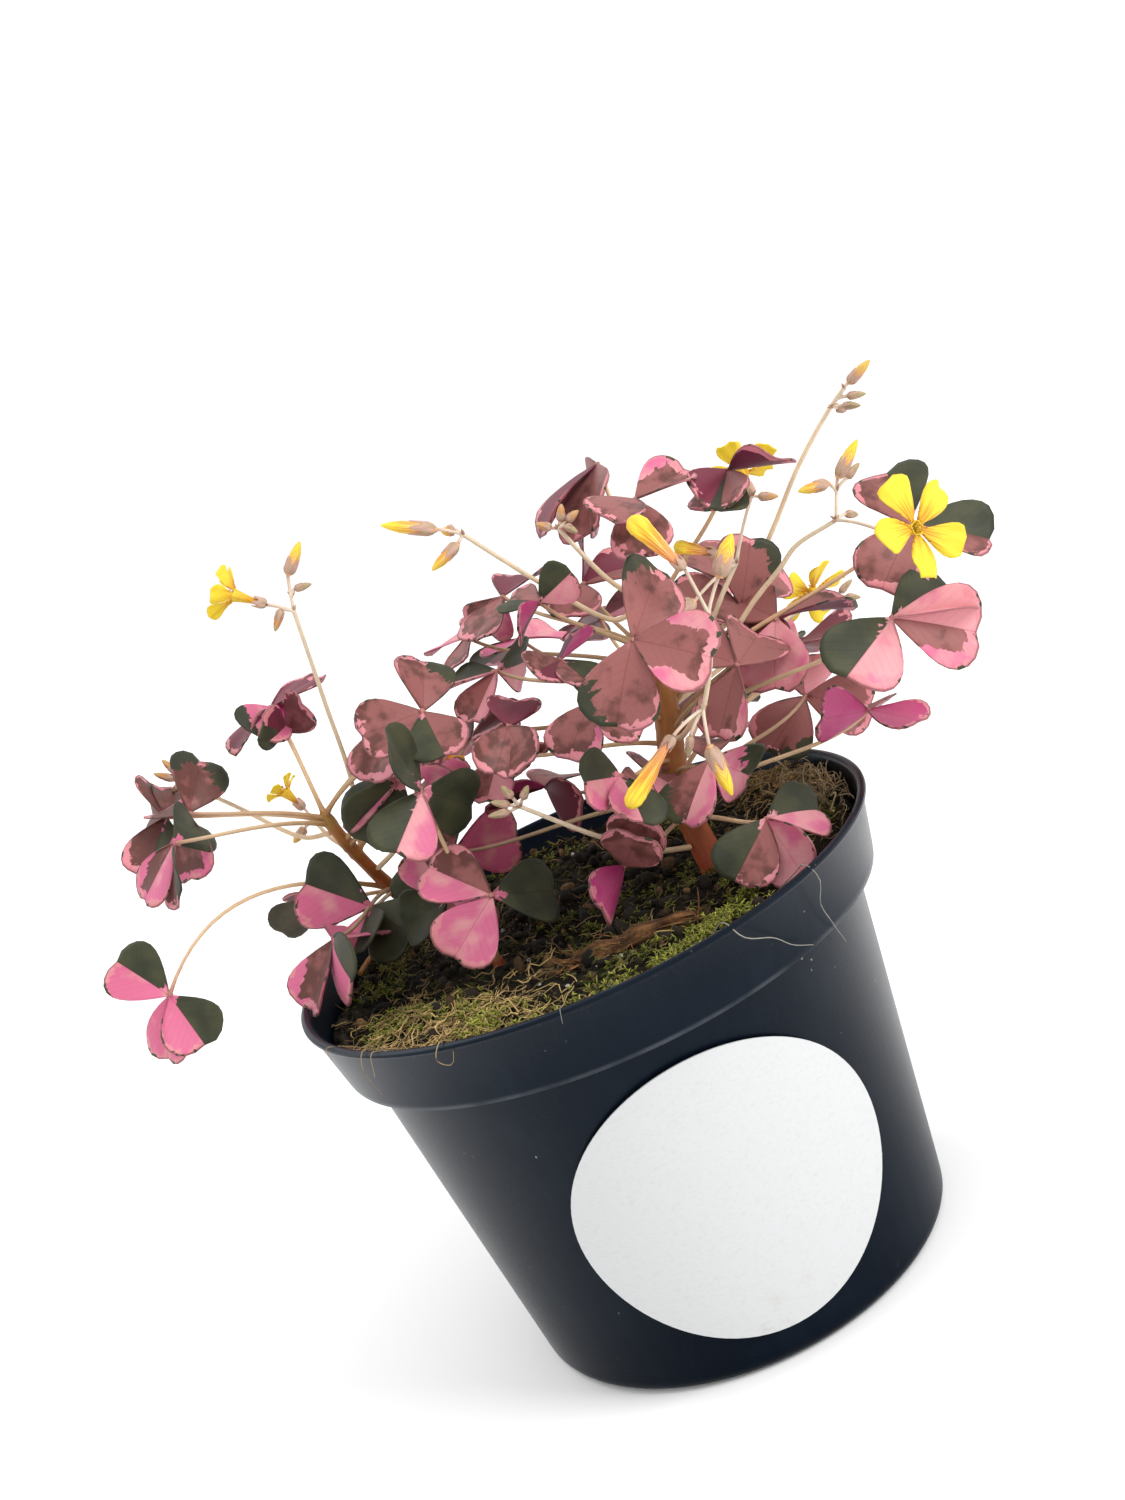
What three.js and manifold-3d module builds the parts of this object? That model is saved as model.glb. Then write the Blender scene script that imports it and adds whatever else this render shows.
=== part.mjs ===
/**
 * Purple shamrock in a round nursery pot.
 *
 * Millimetres, +Z up. The origin is the middle of the underside of the pot, the label
 * faces the front (-Y), and bearings are degrees from +X towards +Y.
 */
import * as THREE from 'three';
import { mergeVertices } from 'three/addons/utils/BufferGeometryUtils.js';
import Module from 'manifold-3d';

const wasm = await Module();
wasm.setup();

// ---- driving dimensions -------------------------------------------------------------

const GAP = 0.3;

const POT_HEIGHT = 86.5;
const RIM_RADIUS = 60;
const RIM_LIP = 1.2;
const RIM_PROUD = 0.8;
const COLLAR_HEIGHT = 14.2;
const COLLAR_FOOT_RADIUS = 56.6;
const WALL_TOP_RADIUS = 52.8;
const BASE_RADIUS = 44.6;
const BASE_CORNER = 3;
const POT_WALL = 1.2;
const POT_SEGMENTS = 36;
const DRAIN_HOLES = 8;
const DRAIN_SIDES = 8;
const DRAIN_RADIUS = 4;
const DRAIN_CIRCLE = 34;

const LABEL_RADIUS = 29.5;
const LABEL_THICKNESS = 0.4;
const LABEL_HEIGHT = 37;
const LABEL_BEARING = -84;
const LABEL_SEGMENTS = 24;
const LABEL_MARGIN = 2;

const SOIL_LEVEL = 80;
const SOIL_ROUGHNESS = 0.5;
const SOIL_CLEARANCE = 0.5;
const SOIL_FALL = 0.6;
const ROOT_DEPTH = 12;
const ROOT_CLEARANCE = 0.5;
const ROOT_HOLE_SIDES = 12;

const STEM_SIDES = 8;
const STEM_STEPS = 6;
const DEAD_STEM_SIDES = 7;
const RUNNER_SIDES = 5;
const RUNNER_STEPS = 4;

const LEAFLET_THICKNESS = 0.7;
const LEAFLET_FOLD = 0.16;
const LEAFLET_CURL = -0.1;
const PETIOLE_RADII = [0.7, 0.5];
const PETIOLE_SIDES = 3;
const PETIOLE_STEPS = 3;
// Shares of its stem's height between which petioles leave it, and of a petiole's reach:
// how far it runs straight, how far it rises, how far it comes in straight, and how far
// it stays under the hub.
const LEAF_ZONE = [0.06, 0.97];
const PETIOLE_OUT = 0.35;
const PETIOLE_RISE = 0.08;
const PETIOLE_IN = 0.25;
const PETIOLE_UNDER = 0.12;

const PEDUNCLE_RADII = [0.75, 0.5];
const PEDUNCLE_SIDES = 4;
const PEDICEL_RADIUS = 0.4;
const PEDICEL_ARCH = 0.08;
const BUD_TIP_RADIUS = 0.3;
const CALYX_LENGTH = 2.6;
const CALYX_RADIUS = 1.15;
const BUD_SIDES = 4;
const BUD_SWELLING = [0.4, 1, 0.85, 0.25];
const CALYX_SWELLING = [0.4, 1, 0.7];
const FURLED_SIDES = 6;
const FURLED_SWELLING = [0.35, 0.6, 0.75, 1, 0.5];
const TUBE_RADII = [0.5, 1.1];
const PETAL_THICKNESS = 0.6;
const PETAL_COUNT = 5;

// Half outlines from the foot to the tip, as [along, across] shares of the blade's length.
const LEAFLET_EDGE = [[0.33, 0.19], [0.68, 0.385], [0.97, 0.25]];
const LEAFLET_NOTCH = 0.93;
const PETAL_EDGE = [[0.3, 0.14], [0.7, 0.29], [0.96, 0.2]];
const PETAL_TIP = 1.02;
const SINUS = 0.12;
const BLADE_MIDDLE = 0.5;

const COLOURS = {
  pot: 0x14181d,
  label: 0xf2f1ee,
  soil: 0x2a1d14,
  bark: 0x5a3a22,
  leaf: 0x9a4b6a,
  spray: 0xc9a184,
  petal: 0xf4cf1f,
  wilted: 0xe09a25,
};

// ---- how the plant grows ------------------------------------------------------------

// The stems, from the root end up, one with a runner at its foot. A leaf springs from its
// stem at the leafRoot share of the leaf's height.
const STEMS = {
  main: {
    name: 'leafy_stem_main',
    path: [[26, -8, 68], [26, -8, 80], [26, -3, 97], [31, 2, 114], [35, 7, 132]],
    radii: [3.1, 1.9],
    leafRoot: 0.62,
  },
  left: {
    name: 'leafy_stem_left',
    path: [[-32, 36, 68], [-32, 36, 80], [-38, 32, 95], [-42, 28, 110], [-43, 28, 116]],
    radii: [1.9, 1.2],
    leafRoot: 0.66,
    runner: [[-50, 22, 81.6], [-47, 28, 82.2], [-42, 33, 82.4], [-33, 36, 83]],
  },
  front: {
    name: 'leafy_stem_front',
    path: [[-20, -6, 68], [-20, -6, 76], [-20, -6, 82]],
    radii: [1.6, 1.2],
    leafRoot: 0.2,
  },
};

// Each leaf: its stem, hub, the [bearing, rise] of its upper face and of the midribs of
// its three leaflets, in degrees, with any roll of a leaflet, the leaflets' length, and
// how far the petiole arches if it does.
const LEAVES = [
  ['left', [-85, 12, 97], [-100, 20], [[160, 55, 20], [-160, -55, 20], [-65, -45, -25]], 13.5, 9],
  ['left', [-44, 36, 139], [150, 70], [[30, 10, 20], [-135, -10, -15], [-105, -10, -75]], 13],
  ['left', [-67, 22, 128], [-115, 30], [[55, 35, 60], [-130, -60], [110, 10, 25]], 14],
  ['left', [-74, 34, 127], [-140, 25], [[125, 5], [-120, -25, -45], [95, 20, 100]], 14],
  ['left', [-69, 8, 126], [-150, 15], [[-110, -40], [-170, -35, -10], [65, 0, 140]], 13],
  ['left', [-41, 18, 95], [-85, 45], [[145, 30, -30], [-65, -20, 10], [-110, -10, 30]], 17],
  ['left', [-48, 0, 97], [-140, 45], [[-165, -45, -5], [-90, -15, 20], [70, -15, 60]], 15],
  ['left', [-56, 42, 95], [75, 30], [[155, -20], [90, -50], [-80, 30]], 11],
  ['left', [-23, 10, 119], [-140, 50], [[180, -10], [-150, -30, -60], [50, 10]], 15],
  ['left', [-13, 0, 131], [-90, 35], [[65, 40, 35], [-170, 5], [-85, -35, -5]], 13],
  ['left', [-19, 14, 129], [-120, 30], [[-150, -30], [-80, -45], [125, -10, -25]], 14],
  ['left', [-9, 42, 114], [100, 50], [[20, 10], [130, -10], [-110, 20]], 13],
  ['left', [-18, 1, 117], [95, 55], [[-20, -5, 110], [-55, 25, 145], [110, -40, -160]], 8.5],
  ['left', [-43, 30, 134], [110, 50], [[-30, 25, -85], [95, 25, -155], [-95, 20, -145]], 10],
  ['front', [-19, -10, 119], [-80, 10], [[-85, 65, 55], [40, -40], [-135, -30, 5]], 14],
  ['front', [-15, -14, 96], [-70, 30], [[25, -25], [-160, -30], [150, 40]], 14],
  ['front', [-24, 0, 95], [-95, 30], [[165, -10], [-60, -50], [110, 60]], 12],
  ['main', [-21, 20, 98], [-80, 40], [[20, -15, 35], [100, 45], [-160, -20]], 15],
  ['main', [10, -22, 93], [180, 40], [[-40, 45, 75], [-130, -15, 40], [-65, 35, 75]], 12],
  ['main', [10, 15, 143], [-100, 65], [[-145, -20], [55, 5], [130, -30, -85]], 12],
  ['main', [0, 26, 137], [-60, 55], [[130, 5], [-105, -15, 50], [55, 5]], 11],
  ['main', [16, 0, 141], [-60, 65], [[-40, 20, 85], [-140, -15, 70], [125, 15, -15]], 9.5],
  ['main', [26, 20, 138], [-60, 65], [[60, 25, 80], [15, 0], [-115, -10]], 12],
  ['main', [15, -5, 130], [-40, 60], [[55, 15, 140], [-120, 10, -25], [-70, -25]], 10],
  ['main', [3, 8, 131], [-60, 55], [[50, -15, 75], [-145, -30, 30], [155, 5, 15]], 12],
  ['main', [1, -12, 124], [-60, 50], [[-120, -25, -10], [-90, -35, 35], [70, 15]], 11],
  ['main', [-3, 10, 115], [-95, 60], [[-130, -25, -5], [55, -30, 125], [85, 20]], 11],
  ['main', [27, -38, 134], [-100, 35], [[35, 35, 45], [-40, -25], [-150, -45, -5]], 15],
  ['main', [17, -14, 122], [-80, 50], [[-140, -25], [-50, -30], [65, 20]], 12],
  ['main', [16, -26, 110], [-30, 50], [[-125, 20, -55], [-85, -30], [50, -40]], 12],
  ['main', [2, 22, 102], [-60, 70], [[-160, 25, 45], [-70, -20, 85], [70, 5]], 13],
  ['main', [39, -14, 153], [-60, 30], [[20, 5, -40], [-120, 10, 30], [-110, -45, 25]], 12],
  ['main', [38, 18, 159], [-110, 60], [[-125, -25, 20], [-175, -20, 25], [110, -30, -30]], 18],
  ['main', [58, -6, 150], [80, 70], [[-125, -15, -60], [-50, -5, -15], [-120, -20, -10]], 13],
  ['main', [52, 6, 123], [-100, 50], [[20, 55, 35], [170, 30], [-95, -35]], 14],
  ['main', [54, 24, 125], [-60, 40], [[100, 40], [20, -10], [-140, 0]], 14],
  ['main', [56, -4, 120], [-100, 60], [[0, -5, -30], [-125, -35], [110, 20]], 15],
  ['main', [71, -30, 117], [-80, 50], [[20, 0, -10], [-10, -30, 25], [-145, -15, -25]], 16],
  ['main', [84, -14, 128], [-65, 40], [[80, 45, -30], [-20, -30], [-140, -25]], 15],
  ['main', [63, 26, 107], [170, 75], [[-50, 10], [-140, -5], [120, 20]], 13],
  ['main', [58, 14, 99], [80, 40], [[-145, -20, -110], [-10, -30, 130], [65, 30, 80]], 14],
  ['main', [65, -8, 97], [-60, 80], [[-155, 20, 75], [-55, -15, -5], [75, 0]], 12],
  ['main', [44, -18, 118], [-70, 30], [[-165, -50, 45], [50, 10], [130, 30]], 14],
  ['main', [32, -26, 106], [-110, 60], [[-155, -35], [50, -40, 95], [65, 10]], 13],
  ['main', [37, -28, 92], [-80, 65], [[25, -15, 20], [-145, -25, -30], [-85, -45, 45]], 13],
  ['main', [22, -8, 103], [-40, 50], [[-130, -15], [-60, -20], [80, 10]], 10],
  ['main', [10, 45, 129], [90, 55], [[45, -10, 50], [140, -10], [-110, 10]], 13],
  ['main', [28, 50, 125], [80, 45], [[0, 10], [120, -20], [-120, 20]], 13],
  ['main', [46, 46, 124], [75, 50], [[30, -10], [150, 15], [-90, 15]], 13],
  ['main', [42, 48, 101], [80, 45], [[0, -15], [110, -25], [-130, 25]], 13],
  ['main', [62, 46, 103], [60, 50], [[20, -15], [140, 10], [-100, 20]], 13],
];

// Each flower stalk: the share of its stem's height where it springs, its path to the
// umbel, further forks, its buds as [fork, foot, tip, radius], and the feet of its flowers.
const SPRAYS = [
  {
    name: 'spray_top_right',
    stem: 'main',
    springs: 0.86,
    path: [[49, 11, 120], [64, 12, 133], [73, 9, 143], [82, 6, 151], [86, 4, 154]],
    buds: [
      [[86, 4, 154], [87, 4, 154.5], [92, 2, 157], 1.1],
      [[84, 5, 152.5], [86, 4.5, 152.3], [89.5, 4, 151.3], 0.8],
      [[83, 5, 151.5], [84.5, 4, 151], [87, 1, 150], 0.8],
      [[83, 5, 151.5], [84, 7, 150.7], [86, 9, 149.3], 0.8],
    ],
    flowers: [],
  },
  {
    name: 'spray_right',
    stem: 'main',
    springs: 0.7,
    path: [[45, -1, 119], [54, -3, 125], [60, -6, 129], [64, -8, 132], [72, -12, 134]],
    buds: [
      [[72, -12, 134], [75, -12, 141], [81, -12, 146], 1.3],
      [[74, -12, 139], [73, -13, 141], [67, -14, 142], 1.2],
      [[74, -12, 139], [77, -10, 140], [80.5, -9, 141.5], 0.8],
      [[72, -12, 134], [74.5, -10, 134], [77, -8, 132.5], 0.8],
    ],
    flowers: [[[72, -12, 134], [77, -28, 130], [-60, 5]]],
  },
  {
    name: 'spray_centre',
    stem: 'main',
    springs: 0.78,
    path: [[43, -1, 123], [49, -3, 129], [53, -4, 133]],
    buds: [
      [[53, -4, 133], [42, -12, 131], [35, -14, 130], 1.7],
      [[61, -1, 143], [62, -1.5, 142.5], [65.5, -2, 141], 0.9],
    ],
    flowers: [
      [[53, -4, 133], [61, -1, 143], [80, 45]],
      [[53, -4, 133], [50, -7, 136.5], [-160, 35]],
    ],
  },
  {
    name: 'spray_front',
    stem: 'main',
    springs: 0.5,
    path: [[30, -14, 109], [33, -24, 114], [34, -30, 116], [38, -34, 124], [41, -34, 132]],
    buds: [
      [[34, -30, 116], [32, -36, 111], [32, -39, 102], 1.6],
      [[34, -30, 116], [30, -32, 113], [28, -32, 109.5], 0.8],
      [[41, -34, 132], [45, -34, 137], [50, -34, 143], 1.7],
    ],
    flowers: [
      [[34, -30, 116], [27, -35, 115], [-155, -25]],
      [[41, -34, 132], [40, -36, 141], [-160, 65]],
    ],
  },
  {
    name: 'spray_left_tall',
    stem: 'left',
    springs: 0.6,
    path: [[-40, 33, 103], [-35, 30, 118], [-32, 24, 137], [-29, 18, 157]],
    buds: [
      [[-29, 18, 157], [-27, 18, 164], [-22, 18, 169], 1.3],
      [[-28, 18, 160], [-27, 18, 161], [-23.5, 18, 160.5], 0.8],
      [[-29, 18, 157], [-31, 17, 158.5], [-34, 17, 155], 0.9],
    ],
    flowers: [[[-29, 18, 157], [-33, 16, 160.5], [170, 40]]],
  },
  {
    name: 'spray_top_left',
    stem: 'main',
    springs: 0.97,
    path: [[28, 6, 131], [19, 5, 142], [13, 1, 151], [8, -4, 159]],
    buds: [
      [[8, -4, 159], [4, -6, 162], [-5, -8, 167], 1.4],
      [[8, -4, 159], [7, -4, 160.5], [4.5, -4, 161], 1.1],
      [[8, -4, 159], [6.5, -5, 158], [0, -6, 155.5], 1.2],
    ],
    flowers: [],
  },
  {
    name: 'spray_young',
    stem: 'main',
    springs: 0.99,
    path: [[30, 4, 139], [25, 4, 152]],
    buds: [
      [[25, 4, 152], [26, 4, 153], [27.5, 4, 156], 0.9],
      [[25, 4, 152], [27, 4, 152.5], [30, 4, 153.5], 0.9],
      [[25, 4, 152], [24, 4, 152.5], [21.5, 4, 154.5], 0.9],
      [[25, 4, 152], [26.5, 3, 152], [28, 1, 150], 0.8],
    ],
    flowers: [],
  },
  {
    name: 'spray_far_left',
    stem: 'left',
    springs: 0.85,
    path: [[-50, 34, 111], [-61, 40, 122], [-69, 44, 130]],
    buds: [
      [[-69, 44, 130], [-71, 45, 132], [-75, 46, 135], 0.9],
      [[-69, 44, 130], [-70, 45, 133], [-72, 46, 137], 0.9],
      [[-69, 44, 130], [-68.5, 45, 132], [-67, 46, 136], 0.8],
      [[-69, 44, 130], [-71, 45, 130.5], [-73, 46, 129.5], 0.8],
    ],
    flowers: [],
  },
  {
    name: 'spray_low',
    stem: 'main',
    springs: 0.1,
    path: [[17, -12, 90], [8, -18, 99], [-3, -20, 111]],
    buds: [
      [[-3, -20, 111], [-4.5, -20, 112], [-7.5, -20, 114], 0.8],
      [[-3, -20, 111], [-5, -20.5, 111], [-9, -21, 112], 0.8],
      [[-3, -20, 111], [-3.5, -20, 113], [-4.5, -20, 116], 0.8],
      [[-3, -20, 111], [-2, -20, 112], [0, -20, 114], 0.8],
    ],
    flowers: [],
  },
  {
    name: 'spray_back_right',
    stem: 'main',
    springs: 0.6,
    path: [[48, 20, 111], [58, 25, 112], [66, 27, 113]],
    buds: [
      [[66, 27, 113], [75, 27, 113], [78.5, 27, 114.5], 0.8],
      [[66, 27, 113], [76, 28, 111.5], [79, 28, 110], 0.8],
    ],
    flowers: [[[66, 27, 113], [72, 31, 110], [100, 40]]],
  },
  {
    name: 'spray_left_low',
    stem: 'left',
    springs: 0.7,
    path: [[-45, 36, 108], [-47, 39, 112]],
    buds: [[[-47, 39, 112], [-50, 42, 111], [-54, 44, 108.5], 1.1]],
    flowers: [[[-47, 39, 112], [-48, 41, 115], [150, 60]]],
  },
  {
    name: 'spray_wilted',
    stem: 'left',
    springs: 0.52,
    path: [[-32, 22, 103], [-25, 16, 109], [-22, 11, 114]],
    buds: [[[-25, 16, 109], [-24, 13, 108], [-22, 11, 105], 0.8]],
    flowers: [[[-22, 11, 114], [-20, 9, 115], [-30, 25]]],
  },
];

// Each corolla: its stalk and which of the stalk's flowers it is, open or furled, the
// length of its tube, of its petals, how far the petals stand forward, and its turn.
const BLOOMS = [
  { name: 'bloom_right', spray: 'spray_right', flower: 0, tube: 3.5, petal: 9.4, flare: 20, turn: 25 },
  { name: 'bloom_top', spray: 'spray_centre', flower: 0, tube: 4, petal: 7.2, flare: 15, turn: 10 },
  { name: 'bloom_back', spray: 'spray_back_right', flower: 0, tube: 3.5, petal: 8, flare: 10, turn: 40 },
  { name: 'bloom_left', spray: 'spray_left_tall', flower: 0, tube: 4, petal: 6.6, flare: 50, turn: 0 },
  { name: 'bloom_left_low', spray: 'spray_left_low', flower: 0, tube: 3, petal: 4.6, flare: 45, turn: 20 },
  { name: 'bloom_furled_centre', spray: 'spray_centre', flower: 1, length: 6.5, radius: 1.5 },
  { name: 'bloom_furled_front', spray: 'spray_front', flower: 0, length: 12, radius: 1.9 },
  { name: 'bloom_furled_top', spray: 'spray_front', flower: 1, length: 11, radius: 2 },
  { name: 'bloom_wilted', spray: 'spray_wilted', flower: 0, length: 10, radius: 1.5, wilted: true },
];

const DEAD_STEM_PATH = [[-6, -25, 80.6], [2, -27, 81], [10, -26, 81.2], [20, -29, 80.8]];
const DEAD_STEM_RADII = [2.2, 1.1];
const RUNNER_RADII = [0.6, 0.8];

// ---- vectors, curves and solids -----------------------------------------------------

const vector = ([x, y, z]) => new THREE.Vector3(x, y, z);

/** The unit vector at a compass bearing and a rise above the level, both in degrees. */
function heading([bearing, rise]) {
  const turn = THREE.MathUtils.degToRad(bearing);
  const tilt = THREE.MathUtils.degToRad(rise);
  return new THREE.Vector3(
    Math.cos(tilt) * Math.cos(turn),
    Math.cos(tilt) * Math.sin(turn),
    Math.sin(tilt),
  );
}

/** A midrib's direction, and how far its leaflet is rolled about it. */
const midrib = ([bearing, rise, roll = 0]) => ({ along: heading([bearing, rise]), roll });

/** A solid that can be joined and cut, from a closed geometry. */
function solidOf(geometry) {
  geometry.deleteAttribute('normal');
  geometry.deleteAttribute('uv');
  const merged = mergeVertices(geometry, 1e-4);
  return new wasm.Manifold(new wasm.Mesh({
    numProp: 3,
    vertProperties: merged.attributes.position.array,
    triVerts: new Uint32Array(merged.index.array),
  }));
}

/** The geometry of a solid. */
function geometryOf(solid) {
  const mesh = solid.getMesh();
  const geometry = new THREE.BufferGeometry();
  geometry.setAttribute('position', new THREE.BufferAttribute(mesh.vertProperties, 3));
  geometry.setIndex(new THREE.BufferAttribute(mesh.triVerts, 1));
  geometry.computeVertexNormals();
  return geometry;
}

/** One solid out of a list of solids that meet. */
const join = (solids) => solids.reduce((whole, solid) => whole.add(solid));

/** A round shoot through [centre, radius] rings: a cylinder whose rings are moved there. */
function shootThrough(rings, sides) {
  const steps = rings.length - 1;
  const geometry = new THREE.CylinderGeometry(1, 1, 1, sides, steps);
  const position = geometry.attributes.position;
  const tangents = rings.map((_, i) => {
    const before = rings[Math.max(i - 1, 0)][0];
    const after = rings[Math.min(i + 1, steps)][0];
    return after.clone().sub(before).normalize();
  });
  const start = Math.abs(tangents[0].z) < 0.9 ? new THREE.Vector3(0, 0, 1) : new THREE.Vector3(1, 0, 0);
  const acrosses = [start];
  tangents.forEach((tangent, i) => {
    const across = acrosses[Math.max(i - 1, 0)].clone();
    acrosses[i] = across.addScaledVector(tangent, -across.dot(tangent)).normalize();
  });
  for (let i = 0; i < position.count; i += 1) {
    const ring = Math.round((position.getY(i) + 0.5) * steps);
    const [centre, radius] = rings[ring];
    const aside = new THREE.Vector3().crossVectors(acrosses[ring], tangents[ring]);
    const point = centre.clone()
      .addScaledVector(acrosses[ring], position.getX(i) * radius)
      .addScaledVector(aside, position.getZ(i) * radius);
    position.setXYZ(i, point.x, point.y, point.z);
  }
  return solidOf(geometry);
}

/** A round shoot along a curve, in equal steps, with radiusAt(share of its length). */
function shoot(curve, radiusAt, sides, steps) {
  const rings = Array.from({ length: steps + 1 }, (_, i) => {
    const share = i / steps;
    return [curve.getPointAt(share), radiusAt(share)];
  });
  return shootThrough(rings, sides);
}

const taper = ([from, to]) => (share) => from + (to - from) * share;

/** Two unit vectors square to an axis, the first one level. */
function levelAxes(axis) {
  const right = new THREE.Vector3(0, 0, 1).cross(axis).normalize();
  return [right, new THREE.Vector3().crossVectors(axis, right)];
}

/**
 * Thin blades round one hub, as one closed sheet: each blade folds up from its midrib and
 * curls, and neighbours meet in a small sinus beside the hub.
 */
function rosette(hub, face, ways, length, shape) {
  const [right, up] = levelAxes(face);
  const angleOf = (way) => Math.atan2(way.dot(up), way.dot(right));
  const blades = ways
    .map(({ along, roll }) => {
      const flat = face.clone().addScaledVector(along, -face.dot(along)).normalize();
      const normal = flat.applyAxisAngle(along, THREE.MathUtils.degToRad(roll));
      return { along, normal, across: new THREE.Vector3().crossVectors(normal, along) };
    })
    .sort((a, b) => angleOf(a.along) - angleOf(b.along));
  const place = ({ along, across, normal }, [reach, width]) => {
    const lift = shape.fold * Math.abs(width) + shape.curl * reach * reach;
    return hub.clone()
      .addScaledVector(along, length * reach)
      .addScaledVector(across, length * width)
      .addScaledVector(normal, length * lift);
  };
  const rightEdge = shape.edge.map(([reach, width]) => [reach, -width]);
  const leftEdge = [...shape.edge].reverse();
  const rim = [...rightEdge, [shape.tip, 0], ...leftEdge];
  const points = [{ at: hub.clone(), normal: face }];
  const faces = [];
  const stride = rim.length + 2;
  blades.forEach((blade, i) => {
    const before = blades[(i + blades.length - 1) % blades.length];
    const sinus = place(blade, [SINUS, -SINUS]).lerp(place(before, [SINUS, SINUS]), 0.5);
    points.push({ at: sinus, normal: blade.normal.clone().add(before.normal).normalize() });
    points.push({ at: place(blade, [BLADE_MIDDLE, 0]), normal: blade.normal });
    rim.forEach((spot) => points.push({ at: place(blade, spot), normal: blade.normal }));
    const first = 1 + i * stride;
    const next = 1 + ((i + 1) % blades.length) * stride;
    const middle = first + 1;
    const edge = [first, ...rim.map((_, k) => middle + 1 + k), next];
    for (let k = 0; k + 1 < edge.length; k += 1) {
      faces.push([middle, edge[k], edge[k + 1], true]);
    }
    faces.push([middle, next, 0, false], [middle, 0, first, false]);
  });
  const count = points.length;
  const positions = [];
  for (const side of [0.5, -0.5]) {
    for (const { at, normal } of points) {
      const point = at.clone().addScaledVector(normal, side * shape.thickness);
      positions.push(point.x, point.y, point.z);
    }
  }
  const triangles = [];
  for (const [a, b, c, onRim] of faces) {
    triangles.push(a, b, c, a + count, c + count, b + count);
    if (onRim) {
      triangles.push(b, b + count, c + count, b, c + count, c);
    }
  }
  const geometry = new THREE.BufferGeometry();
  geometry.setAttribute('position', new THREE.Float32BufferAttribute(positions, 3));
  geometry.setIndex(triangles);
  return solidOf(geometry);
}

// ---- the pot, its label and the soil ------------------------------------------------

/** The radius of the outside of the pot's wall, below the collar, at a height. */
function wallRadius(height) {
  const share = (height - BASE_CORNER) / (POT_HEIGHT - COLLAR_HEIGHT - BASE_CORNER);
  return BASE_RADIUS + (WALL_TOP_RADIUS - BASE_RADIUS) * share;
}

/** A solid of revolution about Z from [radius, height] points. */
function turned(profile, segments) {
  const points = profile.map(([radius, height]) => new THREE.Vector2(radius, height));
  const geometry = new THREE.LatheGeometry(points, segments);
  geometry.rotateX(Math.PI / 2);
  return solidOf(geometry);
}

function makePot() {
  const collarFoot = POT_HEIGHT - COLLAR_HEIGHT;
  const underLip = POT_HEIGHT - RIM_LIP;
  const shell = turned([
    [0, 0],
    [BASE_RADIUS - BASE_CORNER, 0],
    [BASE_RADIUS - 0.3 * BASE_CORNER, 0.3 * BASE_CORNER],
    [BASE_RADIUS, BASE_CORNER],
    [WALL_TOP_RADIUS, collarFoot],
    [COLLAR_FOOT_RADIUS, collarFoot],
    [RIM_RADIUS - RIM_PROUD, underLip],
    [RIM_RADIUS, underLip + 0.3 * RIM_LIP],
    [RIM_RADIUS, POT_HEIGHT],
    [RIM_RADIUS - RIM_PROUD - POT_WALL, POT_HEIGHT],
    [COLLAR_FOOT_RADIUS - POT_WALL, collarFoot + POT_WALL],
    [WALL_TOP_RADIUS - POT_WALL, collarFoot],
    [BASE_RADIUS - POT_WALL, BASE_CORNER],
    [BASE_RADIUS - BASE_CORNER, POT_WALL],
    [0, POT_WALL],
  ], POT_SEGMENTS);
  const drain = new THREE.CylinderGeometry(DRAIN_RADIUS, DRAIN_RADIUS, 4 * POT_WALL, DRAIN_SIDES);
  drain.rotateX(Math.PI / 2);
  const plug = solidOf(drain);
  let pot = shell;
  for (let i = 0; i < DRAIN_HOLES; i += 1) {
    const turn = ((i + 0.5) / DRAIN_HOLES) * 2 * Math.PI;
    pot = pot.subtract(plug.translate(DRAIN_CIRCLE * Math.cos(turn), DRAIN_CIRCLE * Math.sin(turn), 0));
  }
  return pot;
}

/** A round sheet of paper on the pot's conical wall: a slice of a thin cone shell. */
function makeLabel() {
  const low = LABEL_HEIGHT - LABEL_RADIUS - LABEL_MARGIN;
  const high = LABEL_HEIGHT + LABEL_RADIUS + LABEL_MARGIN;
  const shell = turned([
    [wallRadius(low) + GAP, low],
    [wallRadius(low) + GAP + LABEL_THICKNESS, low],
    [wallRadius(high) + GAP + LABEL_THICKNESS, high],
    [wallRadius(high) + GAP, high],
    [wallRadius(low) + GAP, low],
  ], POT_SEGMENTS);
  const cutter = new THREE.CylinderGeometry(LABEL_RADIUS, LABEL_RADIUS, RIM_RADIUS, LABEL_SEGMENTS);
  cutter.rotateZ(-Math.PI / 2);
  cutter.translate(0.7 * RIM_RADIUS, 0, LABEL_HEIGHT);
  cutter.rotateZ(THREE.MathUtils.degToRad(LABEL_BEARING));
  return shell.intersect(solidOf(cutter));
}

/** How far the soil's top lies above its level: low mounds two to five centimetres apart. */
const mound = (x, y) => {
  const broad = Math.sin(0.21 * x + 1) * Math.cos(0.17 * y);
  return SOIL_ROUGHNESS * (broad + 0.6 * Math.sin(0.13 * x - 0.3 * y));
};

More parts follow.
